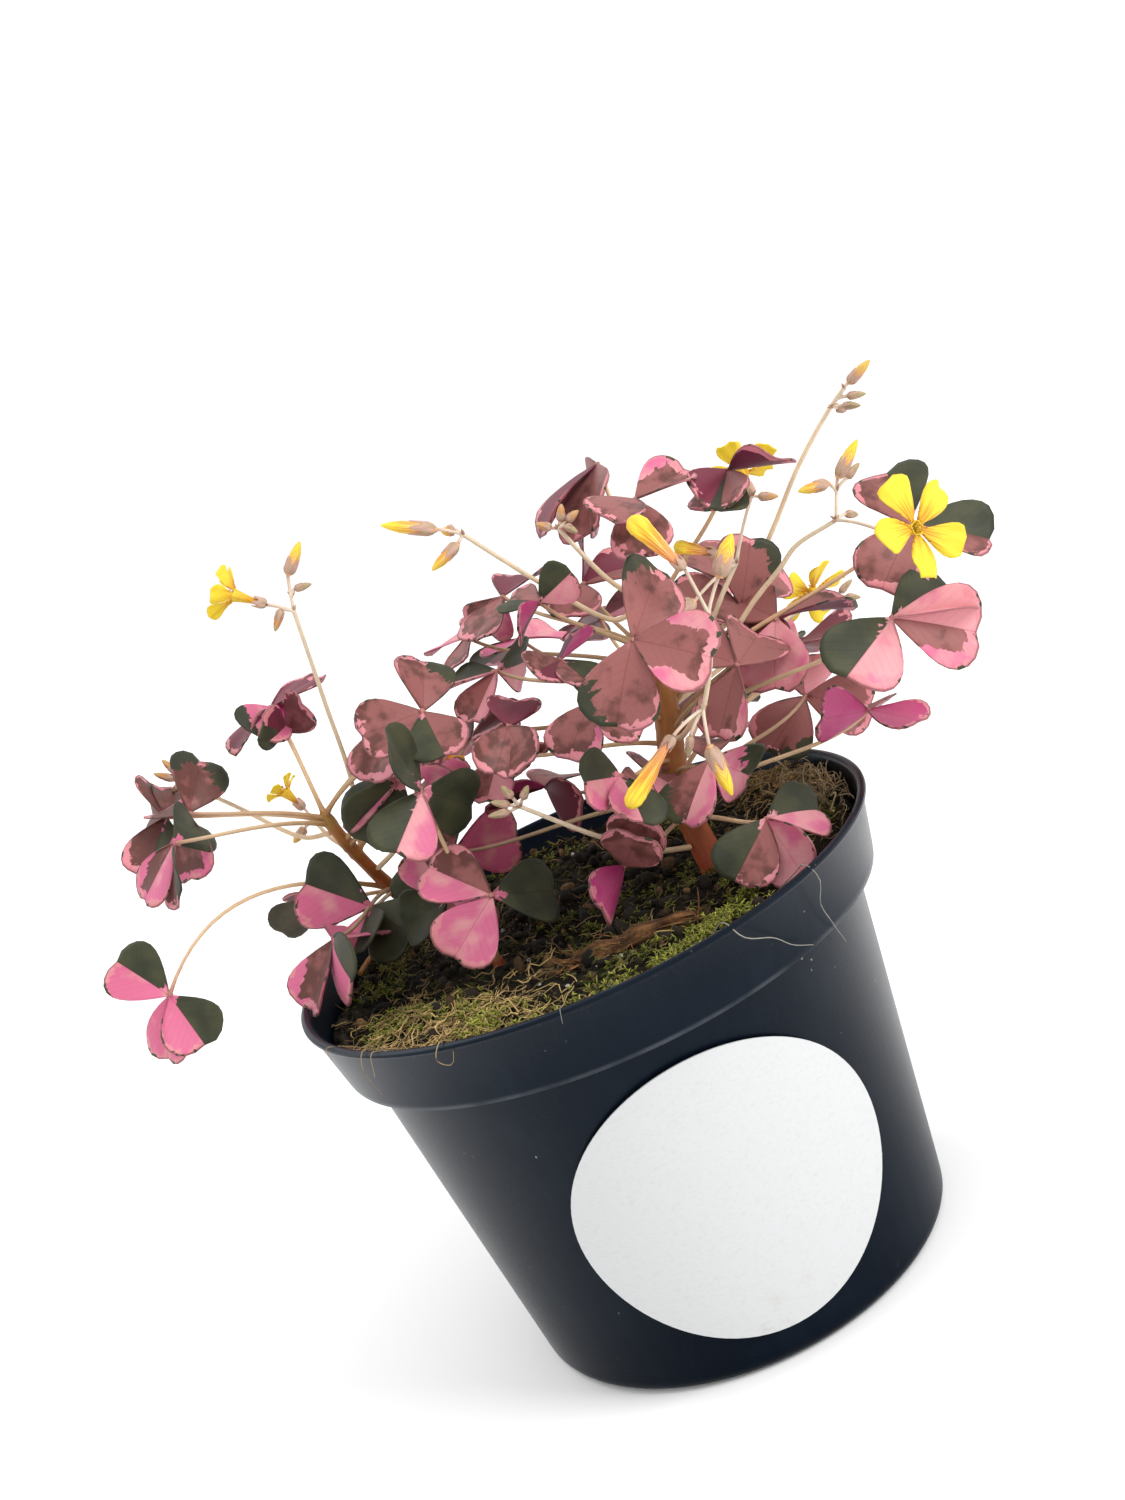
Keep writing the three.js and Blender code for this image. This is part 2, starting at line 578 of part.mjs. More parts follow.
/** The peat that fills the pot, with a slightly uneven top and a hole for each stem. */
function makeSoil() {
  const collarFoot = POT_HEIGHT - COLLAR_HEIGHT;
  const inside = POT_WALL + GAP;
  const slope = (RIM_RADIUS - RIM_PROUD - COLLAR_FOOT_RADIUS) / COLLAR_HEIGHT;
  const edge = COLLAR_FOOT_RADIUS - inside - SOIL_CLEARANCE + slope * (SOIL_LEVEL - collarFoot);
  const profile = [
    [0, inside],
    [BASE_RADIUS - BASE_CORNER - SOIL_CLEARANCE, inside],
    [BASE_RADIUS - inside - SOIL_CLEARANCE, BASE_CORNER + SOIL_CLEARANCE],
    [WALL_TOP_RADIUS - inside, collarFoot + SOIL_CLEARANCE],
    [COLLAR_FOOT_RADIUS - inside - SOIL_CLEARANCE, collarFoot + POT_WALL + SOIL_CLEARANCE],
    [edge, SOIL_LEVEL - SOIL_FALL],
    [0.6 * edge, SOIL_LEVEL],
    [0, SOIL_LEVEL],
  ];
  const points = profile.map(([radius, height]) => new THREE.Vector2(radius, height));
  const geometry = new THREE.LatheGeometry(points, POT_SEGMENTS);
  geometry.rotateX(Math.PI / 2);
  const position = geometry.attributes.position;
  for (let i = 0; i < position.count; i += 1) {
    const z = position.getZ(i);
    if (z > SOIL_LEVEL - 1) {
      position.setZ(i, z + mound(position.getX(i), position.getY(i)));
    }
  }
  let soil = solidOf(geometry);
  for (const { path, radii } of Object.values(STEMS)) {
    const [x, y, foot] = path[0];
    const radius = radii[0] + ROOT_CLEARANCE;
    const depth = 2 * ROOT_DEPTH;
    const plug = new THREE.CylinderGeometry(radius, radius, depth, ROOT_HOLE_SIDES);
    plug.rotateX(Math.PI / 2);
    plug.translate(x, y, foot - GAP + depth / 2);
    soil = soil.subtract(solidOf(plug));
  }
  return soil;
}

// ---- the plant ----------------------------------------------------------------------

const LEAFLET = {
  edge: LEAFLET_EDGE,
  tip: LEAFLET_NOTCH,
  fold: LEAFLET_FOLD,
  curl: LEAFLET_CURL,
  thickness: LEAFLET_THICKNESS,
};
const PETAL = {
  edge: PETAL_EDGE,
  tip: PETAL_TIP,
  fold: 0.1,
  curl: -0.12,
  thickness: PETAL_THICKNESS,
};

/** The curve of a stem. */
const stemCurve = ({ path }) => new THREE.CatmullRomCurve3(path.map(vector));

/** A leaf: a petiole that leaves the stem and three leaflets at its hub. */
function leaf(curve, [, hubPlace, faceHeading, leaflets, length, arch = 0], leafRoot) {
  const hub = vector(hubPlace);
  const face = heading(faceHeading);
  const soilShare = ROOT_DEPTH / curve.getLength();
  const rise = (leafRoot * (hub.z - SOIL_LEVEL)) / (curve.getPointAt(1).z - SOIL_LEVEL);
  const [lowest, highest] = LEAF_ZONE;
  const springs = soilShare + (1 - soilShare) * (lowest + rise);
  const foot = curve.getPointAt(Math.min(highest, springs));
  const reach = hub.distanceTo(foot);
  const away = hub.clone().sub(foot).normalize();
  const up = new THREE.Vector3(0, 0, 1);
  const petiole = new THREE.CubicBezierCurve3(
    foot,
    foot.clone()
      .addScaledVector(away, PETIOLE_OUT * reach)
      .addScaledVector(up, PETIOLE_RISE * reach + arch),
    hub.clone()
      .addScaledVector(away, -PETIOLE_IN * reach)
      .addScaledVector(face, -PETIOLE_UNDER * reach)
      .addScaledVector(up, 2 * arch),
    hub,
  );
  return [
    shoot(petiole, taper(PETIOLE_RADII), PETIOLE_SIDES, PETIOLE_STEPS),
    rosette(hub, face, leaflets.map(midrib), length, LEAFLET),
  ];
}

/** A stem with all of its leaves. */
function makeLeafyStem(key) {
  const stem = STEMS[key];
  const curve = stemCurve(stem);
  const parts = [shoot(curve, taper(stem.radii), STEM_SIDES, STEM_STEPS)];
  for (const entry of LEAVES.filter(([owner]) => owner === key)) {
    parts.push(...leaf(curve, entry, stem.leafRoot));
  }
  if (stem.runner) {
    const runner = new THREE.CatmullRomCurve3(stem.runner.map(vector));
    parts.push(shoot(runner, taper(RUNNER_RADII), RUNNER_SIDES, RUNNER_STEPS));
  }
  return join(parts);
}

/** A pedicel that swells into a bud or calyx. The swelling lists shares of the radius. */
function budded(fork, foot, tip, radius, swelling) {
  const arch = fork.clone().lerp(foot, 0.5);
  arch.z += PEDICEL_ARCH * fork.distanceTo(foot);
  const stalk = new THREE.QuadraticBezierCurve3(fork, arch, foot);
  const rings = [
    ...[0, 0.5].map((share) => [stalk.getPoint(share), PEDICEL_RADIUS]),
    ...swelling.map((share, i) => [
      foot.clone().lerp(tip, i / (swelling.length - 1)),
      Math.max(radius * share, BUD_TIP_RADIUS),
    ]),
  ];
  return shootThrough(rings, BUD_SIDES);
}

/** A flower stalk with its pedicels, buds and calyces. Its foot stands off its stem. */
function makeSpray({ stem, springs, path, buds, flowers }) {
  const curve = stemCurve(STEMS[stem]);
  const soilShare = ROOT_DEPTH / curve.getLength();
  const share = soilShare + (1 - soilShare) * springs;
  const axis = curve.getPointAt(share);
  const outward = vector(path[0]).sub(axis).normalize();
  const foot = axis.clone().addScaledVector(outward, taper(STEMS[stem].radii)(share) + 2 * GAP);
  const peduncle = new THREE.CatmullRomCurve3([foot, ...path.map(vector)]);
  const radiusAt = taper(PEDUNCLE_RADII);
  const rings = Array.from({ length: path.length + 1 }, (_, i) => {
    const along = i / path.length;
    return [peduncle.getPoint(along), radiusAt(along)];
  });
  const parts = [shootThrough(rings, PEDUNCLE_SIDES)];
  for (const [fork, base, tip, radius] of buds) {
    parts.push(budded(vector(fork), vector(base), vector(tip), radius, BUD_SWELLING));
  }
  for (const [fork, base, way] of flowers) {
    const calyx = vector(base);
    const top = calyx.clone().addScaledVector(heading(way), CALYX_LENGTH);
    parts.push(budded(vector(fork), calyx, top, CALYX_RADIUS, CALYX_SWELLING));
  }
  return join(parts);
}

/** A corolla that stands just clear of its calyx: five petals on a funnel, or rolled up. */
function makeBloom(bloom) {
  const { flowers } = SPRAYS.find(({ name }) => name === bloom.spray);
  const [, base, way] = flowers[bloom.flower];
  const axis = heading(way);
  const foot = vector(base).addScaledVector(axis, CALYX_LENGTH + GAP);
  if (bloom.length) {
    const steps = FURLED_SWELLING.length - 1;
    const tip = foot.clone().addScaledVector(axis, bloom.length);
    const radiusAt = (share) => bloom.radius * FURLED_SWELLING[Math.round(share * steps)];
    return shoot(new THREE.LineCurve3(foot, tip), radiusAt, FURLED_SIDES, steps);
  }
  const throat = foot.clone().addScaledVector(axis, bloom.tube);
  const tube = shoot(new THREE.LineCurve3(foot, throat), taper(TUBE_RADII), PETAL_COUNT, 1);
  const [side] = levelAxes(axis);
  const flare = THREE.MathUtils.degToRad(bloom.flare);
  const ways = Array.from({ length: PETAL_COUNT }, (_, i) => {
    const turn = THREE.MathUtils.degToRad(bloom.turn + (360 * i) / PETAL_COUNT);
    const outward = side.clone().applyAxisAngle(axis, turn);
    const along = outward.multiplyScalar(Math.cos(flare)).addScaledVector(axis, Math.sin(flare));
    return { along, roll: 0 };
  });
  return tube.add(rosette(throat, axis, ways, bloom.petal, PETAL));
}

/** A dead piece of old stem that lies on the soil. */
function makeDeadStem(soil) {
  const curve = new THREE.CatmullRomCurve3(DEAD_STEM_PATH.map(vector));
  const stem = shoot(curve, taper(DEAD_STEM_RADII), DEAD_STEM_SIDES, STEM_STEPS);
  return stem.subtract(soil.translate(0, 0, GAP));
}

// ---- the assembly -------------------------------------------------------------------

/** A named mesh of a solid with its own material. */
function piece(name, solid, color, roughness) {
  const material = new THREE.MeshStandardMaterial({ color, roughness, metalness: 0 });
  const mesh = new THREE.Mesh(geometryOf(solid), material);
  mesh.name = name;
  return mesh;
}

const shamrock = new THREE.Group();
shamrock.name = 'purple_shamrock';

const soil = makeSoil();
shamrock.add(piece('pot', makePot(), COLOURS.pot, 0.45));
shamrock.add(piece('label', makeLabel(), COLOURS.label, 0.6));
shamrock.add(piece('soil', soil, COLOURS.soil, 1));
shamrock.add(piece('dead_stem', makeDeadStem(soil), COLOURS.bark, 0.95));
for (const [key, { name }] of Object.entries(STEMS)) {
  shamrock.add(piece(name, makeLeafyStem(key), COLOURS.leaf, 0.6));
}
for (const spray of SPRAYS) {
  shamrock.add(piece(spray.name, makeSpray(spray), COLOURS.spray, 0.6));
}
for (const bloom of BLOOMS) {
  const colour = bloom.wilted ? COLOURS.wilted : COLOURS.petal;
  shamrock.add(piece(bloom.name, makeBloom(bloom), colour, 0.5));
}

export default shamrock;
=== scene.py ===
"""The looks of a purple shamrock in a round nursery pot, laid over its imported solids.

Places and sizes in the tables are millimetres, and meshes are metres. Bearings are degrees
from +X towards +Y, and rises are degrees above the level. Each surface is a function of two
parameters, worked out on whole arrays of grid points.
"""

import logging
from collections.abc import Callable, Sequence
from dataclasses import dataclass, field
from enum import Enum
from math import comb

import bmesh
import bpy
import numpy as np
from mathutils import Matrix

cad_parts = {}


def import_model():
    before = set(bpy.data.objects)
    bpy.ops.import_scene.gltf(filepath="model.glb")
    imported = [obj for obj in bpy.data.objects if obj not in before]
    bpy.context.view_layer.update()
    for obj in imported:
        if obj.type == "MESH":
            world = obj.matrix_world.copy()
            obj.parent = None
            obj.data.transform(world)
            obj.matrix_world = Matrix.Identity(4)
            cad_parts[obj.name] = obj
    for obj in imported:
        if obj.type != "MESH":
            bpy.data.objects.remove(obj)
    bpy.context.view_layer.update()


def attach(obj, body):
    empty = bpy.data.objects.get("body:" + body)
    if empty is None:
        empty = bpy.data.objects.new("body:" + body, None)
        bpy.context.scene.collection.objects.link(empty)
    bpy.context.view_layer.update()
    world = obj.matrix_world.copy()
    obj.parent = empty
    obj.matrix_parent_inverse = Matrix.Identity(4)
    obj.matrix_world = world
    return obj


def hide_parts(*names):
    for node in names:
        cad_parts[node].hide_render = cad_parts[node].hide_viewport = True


Array = np.ndarray
Rgb = tuple[float, float, float]
Pair = tuple[float, float]
Triple = tuple[float, float, float]
Points = Array | Sequence[Triple]
Random = np.random.Generator
Materials = Sequence[bpy.types.Material]

LOG = logging.getLogger("shamrock")
MM = 0.001
BODY = "root"
GAP = 0.3
SOIL_LEVEL = 80.0
ROOT_DEPTH = 12.0
CALYX_LENGTH = 2.6
UP = np.array([0.0, 0.0, 1.0])


class Tone(Enum):
    """The colouring of one half of a leaflet, as its dark share and its tint.

    The dark share runs from none to the whole half, from the tip inwards. The tint is 0 for
    pink, 0.5 for mauve and 1 for wine, -1 for pink with a mauve stain on the midrib, and -2
    for magenta.
    """

    K = (0.9, 0.1)
    P = (0.0, 0.0)
    p = (0.5, 0.0)
    M = (0.0, 0.5)
    m = (0.42, 0.5)
    W = (0.0, 1.0)
    s = (0.0, -1.0)
    R = (0.0, -2.0)


class Bloom(Enum):
    """The state of a corolla."""

    OPEN = "open"
    FURLED = "furled"
    WITHERED = "withered"


@dataclass(frozen=True)
class StemPlan:
    """One stem.

    Attributes:
        node: The solid that it stands for.
        path: Points along it, from the root end up.
        radii: Its radius at the root end and at the top.
        leaf_root: The share of a leaf's height at which its petiole leaves the stem.
        runner: Points along a runner at its foot, if it has one.
    """

    node: str
    path: tuple[Triple, ...]
    radii: Pair
    leaf_root: float
    runner: tuple[Triple, ...] = ()

    def share(self, rise: Array | float) -> Array | float:
        """The share of its whole length that lies at a share of its run above the soil."""
        soil = ROOT_DEPTH / run_of(self.path)[1][-1]
        return soil + (1 - soil) * rise


@dataclass(frozen=True)
class LeafPlan:
    """One leaf of three leaflets.

    Attributes:
        hub: Where its leaflets meet.
        face: The bearing and rise of its upper face.
        midribs: The bearing, rise and roll of each leaflet.
        length: The length of its leaflets.
        tones: The tones of each leaflet's left and right half.
        arch: How far its petiole arches.
    """

    hub: Triple
    face: Pair
    midribs: tuple[Triple, ...]
    length: float
    tones: str
    arch: float = 0.0


@dataclass(frozen=True)
class SprayPlan:
    """One flower stalk.

    Attributes:
        node: The solid that it stands for.
        stem: The key of its stem.
        springs: The share of its stem's height where it springs.
        path: Points along it, up to the umbel.
        buds: The foot, tip and radius of each bud, and its fork if that isn't the umbel.
        flowers: The calyx foot and heading of each flower, and its fork in the same way.
    """

    node: str
    stem: str
    springs: float
    path: tuple[Triple, ...]
    buds: tuple[tuple, ...]
    flowers: tuple[tuple, ...] = ()

    def forks(self) -> Array:
        """Where the pedicel of each bud and flower forks off, and the foot that it leads to."""
        rows = [(row[0], *row[3:], self.path[-1]) for row in self.buds]
        rows += [(row[0], *row[2:], self.path[-1]) for row in self.flowers]
        return np.array([(fork, foot) for foot, fork, *_ in rows], float).transpose(1, 0, 2)


@dataclass(frozen=True)
class BloomPlan:
    """One corolla, with the sizes of its state.

    Attributes:
        node: The solid that it stands for.
        spray: The node of its flower stalk.
        flower: Which of the stalk's flowers it is.
        state: Open, furled or withered.
        tube: The length of the tube of an open one.
        petal: The length of its petals.
        flare: How far its petals stand forward, in degrees.
        turn: How far it is turned about its axis, in degrees.
        length: The length of a closed one.
        radius: Its greatest radius.
    """

    node: str
    spray: str
    flower: int
    state: Bloom
    tube: float = 0.0
    petal: float = 0.0
    flare: float = 0.0
    turn: float = 0.0
    length: float = 0.0
    radius: float = 0.0


# ---- how the plant grows

STEMS = {
    "main": StemPlan(
        "leafy_stem_main",
        ((26, -8, 68), (26, -8, 80), (26, -3, 97), (31, 2, 114), (35, 7, 132)),
        (3.1, 1.9),
        0.62,
    ),
    "left": StemPlan(
        "leafy_stem_left",
        ((-32, 36, 68), (-32, 36, 80), (-38, 32, 95), (-42, 28, 110), (-43, 28, 116)),
        (1.9, 1.2),
        0.66,
        ((-50, 22, 81.6), (-47, 28, 82.2), (-42, 33, 82.4), (-33, 36, 83)),
    ),
    "front": StemPlan(
        "leafy_stem_front",
        ((-20, -6, 68), (-20, -6, 76), (-20, -6, 82)),
        (1.6, 1.2),
        0.2,
    ),
}


def foliage(*rows: tuple) -> tuple[LeafPlan, ...]:
    """The leaves of one stem, from rows of hub, face, three midribs, length, tones and arch."""
    return tuple(LeafPlan(*row[:2], row[2:5], *row[5:]) for row in rows)


LEAVES = {
    "left": foliage(
        ((-85, 12, 97), (-100, 20), (160, 55, 20), (-160, -55, 20), (-65, -45, -25), 13.5, "PK PP KP", 9),
        ((-44, 36, 139), (150, 70), (30, 10, 20), (-135, -10, -15), (-105, -10, -75), 13, "WW WW Pp"),
        ((-67, 22, 128), (-115, 30), (55, 35, 60), (-130, -60, 0), (110, 10, 25), 14, "mm ss Mp"),
        ((-74, 34, 127), (-140, 25), (125, 5, 0), (-120, -25, -45), (95, 20, 100), 14, "mm KM MM"),
        ((-69, 8, 126), (-150, 15), (-110, -40, 0), (-170, -35, -10), (65, 0, 140), 13, "KM Ps KK"),
        ((-41, 18, 95), (-85, 45), (145, 30, -30), (-65, -20, 10), (-110, -10, 30), 17, "PK KK KP"),
        ((-48, 0, 97), (-140, 45), (-165, -45, -5), (-90, -15, 20), (70, -15, 60), 15, "ss KP PP"),
        ((-56, 42, 95), (75, 30), (155, -20, 0), (90, -50, 0), (-80, 30, 0), 11, "KK PP MM"),
        ((-23, 10, 119), (-140, 50), (180, -10, 0), (-150, -30, -60), (50, 10, 0), 15, "PK KK RP"),
        ((-13, 0, 131), (-90, 35), (65, 40, 35), (-170, 5, 0), (-85, -35, -5), 13, "Mm MM MK"),
        ((-19, 14, 129), (-120, 30), (-150, -30, 0), (-80, -45, 0), (125, -10, -25), 14, "sM MM MM"),
        ((-9, 42, 114), (100, 50), (20, 10, 0), (130, -10, 0), (-110, 20, 0), 13, "MM PP MM"),
        ((-18, 1, 117), (95, 55), (-20, -5, 110), (-55, 25, 145), (110, -40, -160), 8.5, "PP PP PM"),
        ((-43, 30, 134), (110, 50), (-30, 25, -85), (95, 25, -155), (-95, 20, -145), 10, "MM RW KW"),
    ),
    "front": foliage(
        ((-19, -10, 119), (-80, 10), (-85, 65, 55), (40, -40, 0), (-135, -30, 5), 14, "KK KK PK"),
        ((-15, -14, 96), (-70, 30), (25, -25, 0), (-160, -30, 0), (150, 40, 0), 14, "KK PP PM"),
        ((-24, 0, 95), (-95, 30), (165, -10, 0), (-60, -50, 0), (110, 60, 0), 12, "KK PM PM"),
    ),
    "main": foliage(
        ((-21, 20, 98), (-80, 40), (20, -15, 35), (100, 45, 0), (-160, -20, 0), 15, "PP KM MK"),
        ((10, -22, 93), (180, 40), (-40, 45, 75), (-130, -15, 40), (-65, 35, 75), 12, "MM RR MM"),
        ((10, 15, 143), (-100, 65), (-145, -20, 0), (55, 5, 0), (130, -30, -85), 12, "MM WW PM"),
        ((0, 26, 137), (-60, 55), (130, 5, 0), (-105, -15, 50), (55, 5, 0), 11, "PP MM MM"),
        ((16, 0, 141), (-60, 65), (-40, 20, 85), (-140, -15, 70), (125, 15, -15), 9.5, "KP RW KM"),
        ((26, 20, 138), (-60, 65), (60, 25, 80), (15, 0, 0), (-115, -10, 0), 12, "WW WM MM"),
        ((15, -5, 130), (-40, 60), (55, 15, 140), (-120, 10, -25), (-70, -25, 0), 10, "RW WM KM"),
        ((3, 8, 131), (-60, 55), (50, -15, 75), (-145, -30, 30), (155, 5, 15), 12, "KP PM PK"),
        ((1, -12, 124), (-60, 50), (-120, -25, -10), (-90, -35, 35), (70, 15, 0), 11, "MM MM WW"),
        ((-3, 10, 115), (-95, 60), (-130, -25, -5), (55, -30, 125), (85, 20, 0), 11, "PM MM MM"),
        ((27, -38, 134), (-100, 35), (35, 35, 45), (-40, -25, 0), (-150, -45, -5), 15, "mM ss Mm"),
        ((17, -14, 122), (-80, 50), (-140, -25, 0), (-50, -30, 0), (65, 20, 0), 12, "sM mM KM"),
        ((16, -26, 110), (-30, 50), (-125, 20, -55), (-85, -30, 0), (50, -40, 0), 12, "PK KP MP"),
        ((2, 22, 102), (-60, 70), (-160, 25, 45), (-70, -20, 85), (70, 5, 0), 13, "RW WW MM"),
        ((39, -14, 153), (-60, 30), (20, 5, -40), (-120, 10, 30), (-110, -45, 25), 12, "sM MM MM"),
        ((38, 18, 159), (-110, 60), (-125, -25, 20), (-175, -20, 25), (110, -30, -30), 18, "MM WW MM"),
        ((58, -6, 150), (80, 70), (-125, -15, -60), (-50, -5, -15), (-120, -20, -10), 13, "KW WW MM"),
        ((52, 6, 123), (-100, 50), (20, 55, 35), (170, 30, 0), (-95, -35, 0), 14, "Mm MM MM"),
        ((54, 24, 125), (-60, 40), (100, 40, 0), (20, -10, 0), (-140, 0, 0), 14, "MM WM PM"),
        ((56, -4, 120), (-100, 60), (0, -5, -30), (-125, -35, 0), (110, 20, 0), 15, "MW PP MM"),
        ((71, -30, 117), (-80, 50), (20, 0, -10), (-10, -30, 25), (-145, -15, -25), 16, "KP Ps PK"),
        ((84, -14, 128), (-65, 40), (80, 45, -30), (-20, -30, 0), (-140, -25, 0), 15, "MK KM sM"),
        ((63, 26, 107), (170, 75), (-50, 10, 0), (-140, -5, 0), (120, 20, 0), 13, "WW MM MP"),
        ((58, 14, 99), (80, 40), (-145, -20, -110), (-10, -30, 130), (65, 30, 80), 14, "mM MM MP"),
        ((65, -8, 97), (-60, 80), (-155, 20, 75), (-55, -15, -5), (75, 0, 0), 12, "RR RR PM"),
        ((44, -18, 118), (-70, 30), (-165, -50, 45), (50, 10, 0), (130, 30, 0), 14, "sM MM MM"),
        ((32, -26, 106), (-110, 60), (-155, -35, 0), (50, -40, 95), (65, 10, 0), 13, "Pm pP MM"),
        ((37, -28, 92), (-80, 65), (25, -15, 20), (-145, -25, -30), (-85, -45, 45), 13, "KP MK PP"),
        ((22, -8, 103), (-40, 50), (-130, -15, 0), (-60, -20, 0), (80, 10, 0), 10, "PM MP MM"),
        ((10, 45, 129), (90, 55), (45, -10, 50), (140, -10, 0), (-110, 10, 0), 13, "PP KM PR"),
        ((28, 50, 125), (80, 45), (0, 10, 0), (120, -20, 0), (-120, 20, 0), 13, "PM WM MM"),
        ((46, 46, 124), (75, 50), (30, -10, 0), (150, 15, 0), (-90, 15, 0), 13, "MM PK MM"),
        ((42, 48, 101), (80, 45), (0, -15, 0), (110, -25, 0), (-130, 25, 0), 13, "KM MP PM"),
        ((62, 46, 103), (60, 50), (20, -15, 0), (140, 10, 0), (-100, 20, 0), 13, "MM PP KM"),
    ),
}

SPRAYS = (
    SprayPlan(
        "spray_top_right", "main", 0.86,
        ((49, 11, 120), (64, 12, 133), (73, 9, 143), (82, 6, 151), (86, 4, 154)),
        (
            ((87, 4, 154.5), (92, 2, 157), 1.1),
            ((86, 4.5, 152.3), (89.5, 4, 151.3), 0.8, (84, 5, 152.5)),
            ((84.5, 4, 151), (87, 1, 150), 0.8, (83, 5, 151.5)),
            ((84, 7, 150.7), (86, 9, 149.3), 0.8, (83, 5, 151.5)),
        ),
    ),
    SprayPlan(
        "spray_right", "main", 0.7,
        ((45, -1, 119), (54, -3, 125), (60, -6, 129), (64, -8, 132), (72, -12, 134)),
        (
            ((75, -12, 141), (81, -12, 146), 1.3),
            ((73, -13, 141), (67, -14, 142), 1.2, (74, -12, 139)),
            ((77, -10, 140), (80.5, -9, 141.5), 0.8, (74, -12, 139)),
            ((74.5, -10, 134), (77, -8, 132.5), 0.8),
        ),
        (((77, -28, 130), (-60, 5)),),
    ),
    SprayPlan(
        "spray_centre", "main", 0.78,
        ((43, -1, 123), (49, -3, 129), (53, -4, 133)),
        (
            ((42, -12, 131), (35, -14, 130), 1.7),
            ((62, -1.5, 142.5), (65.5, -2, 141), 0.9, (61, -1, 143)),
        ),
        (((61, -1, 143), (80, 45)), ((50, -7, 136.5), (-160, 35))),
    ),
    SprayPlan(
        "spray_front", "main", 0.5,
        ((30, -14, 109), (33, -24, 114), (34, -30, 116), (38, -34, 124), (41, -34, 132)),
        (
            ((32, -36, 111), (32, -39, 102), 1.6, (34, -30, 116)),
            ((30, -32, 113), (28, -32, 109.5), 0.8, (34, -30, 116)),
            ((45, -34, 137), (50, -34, 143), 1.7),
        ),
        (((27, -35, 115), (-155, -25), (34, -30, 116)), ((40, -36, 141), (-160, 65))),
    ),
    SprayPlan(
        "spray_left_tall", "left", 0.6,
        ((-40, 33, 103), (-35, 30, 118), (-32, 24, 137), (-29, 18, 157)),
        (
            ((-27, 18, 164), (-22, 18, 169), 1.3),
            ((-27, 18, 161), (-23.5, 18, 160.5), 0.8, (-28, 18, 160)),
            ((-31, 17, 158.5), (-34, 17, 155), 0.9),
        ),
        (((-33, 16, 160.5), (170, 40)),),
    ),
    SprayPlan(
        "spray_top_left", "main", 0.97,
        ((28, 6, 131), (19, 5, 142), (13, 1, 151), (8, -4, 159)),
        (
            ((4, -6, 162), (-5, -8, 167), 1.4), ((7, -4, 160.5), (4.5, -4, 161), 1.1),
            ((6.5, -5, 158), (0, -6, 155.5), 1.2),
        ),
    ),
    SprayPlan(
        "spray_young", "main", 0.99,
        ((30, 4, 139), (25, 4, 152)),
        (
            ((26, 4, 153), (27.5, 4, 156), 0.9), ((27, 4, 152.5), (30, 4, 153.5), 0.9),
            ((24, 4, 152.5), (21.5, 4, 154.5), 0.9), ((26.5, 3, 152), (28, 1, 150), 0.8),
        ),
    ),
    SprayPlan(
        "spray_far_left", "left", 0.85,
        ((-50, 34, 111), (-61, 40, 122), (-69, 44, 130)),
        (
            ((-71, 45, 132), (-75, 46, 135), 0.9), ((-70, 45, 133), (-72, 46, 137), 0.9),
            ((-68.5, 45, 132), (-67, 46, 136), 0.8), ((-71, 45, 130.5), (-73, 46, 129.5), 0.8),
        ),
    ),
    SprayPlan(
        "spray_low", "main", 0.1,
        ((17, -12, 90), (8, -18, 99), (-3, -20, 111)),
        (
            ((-4.5, -20, 112), (-7.5, -20, 114), 0.8), ((-5, -20.5, 111), (-9, -21, 112), 0.8),
            ((-3.5, -20, 113), (-4.5, -20, 116), 0.8), ((-2, -20, 112), (0, -20, 114), 0.8),
        ),
    ),
    SprayPlan(
        "spray_back_right", "main", 0.6,
        ((48, 20, 111), (58, 25, 112), (66, 27, 113)),
        (((75, 27, 113), (78.5, 27, 114.5), 0.8), ((76, 28, 111.5), (79, 28, 110), 0.8)),
        (((72, 31, 110), (100, 40)),),
    ),
    SprayPlan(
        "spray_left_low", "left", 0.7,
        ((-45, 36, 108), (-47, 39, 112)),
        (((-50, 42, 111), (-54, 44, 108.5), 1.1),),
        (((-48, 41, 115), (150, 60)),),
    ),
    SprayPlan(
        "spray_wilted", "left", 0.52,
        ((-32, 22, 103), (-25, 16, 109), (-22, 11, 114)),
        (((-24, 13, 108), (-22, 11, 105), 0.8, (-25, 16, 109)),),
        (((-20, 9, 115), (-30, 25)),),
    ),
)

BLOOMS = (
    BloomPlan("bloom_right", "spray_right", 0, Bloom.OPEN, tube=3.5, petal=9.4, flare=20, turn=25),
    BloomPlan("bloom_top", "spray_centre", 0, Bloom.OPEN, tube=4, petal=7.2, flare=15, turn=10),
    BloomPlan("bloom_back", "spray_back_right", 0, Bloom.OPEN, tube=3.5, petal=8, flare=10, turn=40),
    BloomPlan("bloom_left", "spray_left_tall", 0, Bloom.OPEN, tube=4, petal=6.6, flare=50, turn=0),
    BloomPlan("bloom_left_low", "spray_left_low", 0, Bloom.OPEN, tube=3, petal=4.6, flare=45, turn=20),
    BloomPlan("bloom_furled_centre", "spray_centre", 1, Bloom.FURLED, length=6.5, radius=1.5),
    BloomPlan("bloom_furled_front", "spray_front", 0, Bloom.FURLED, length=12, radius=1.9),
    BloomPlan("bloom_furled_top", "spray_front", 1, Bloom.FURLED, length=11, radius=2),
    BloomPlan("bloom_wilted", "spray_wilted", 0, Bloom.WITHERED, length=10, radius=1.5),
)


# ---- curves and surfaces


def stacked(*parts: Array | float) -> Array:
    """Vectors of those parts, which are spread over each other."""
    return np.stack(np.broadcast_arrays(*parts), -1)


def polar(radius: Array | float, turn: Array, height: Array | float) -> Array:
    """The points (radius cos turn, radius sin turn, height)."""
    return stacked(radius * np.cos(turn), radius * np.sin(turn), height)


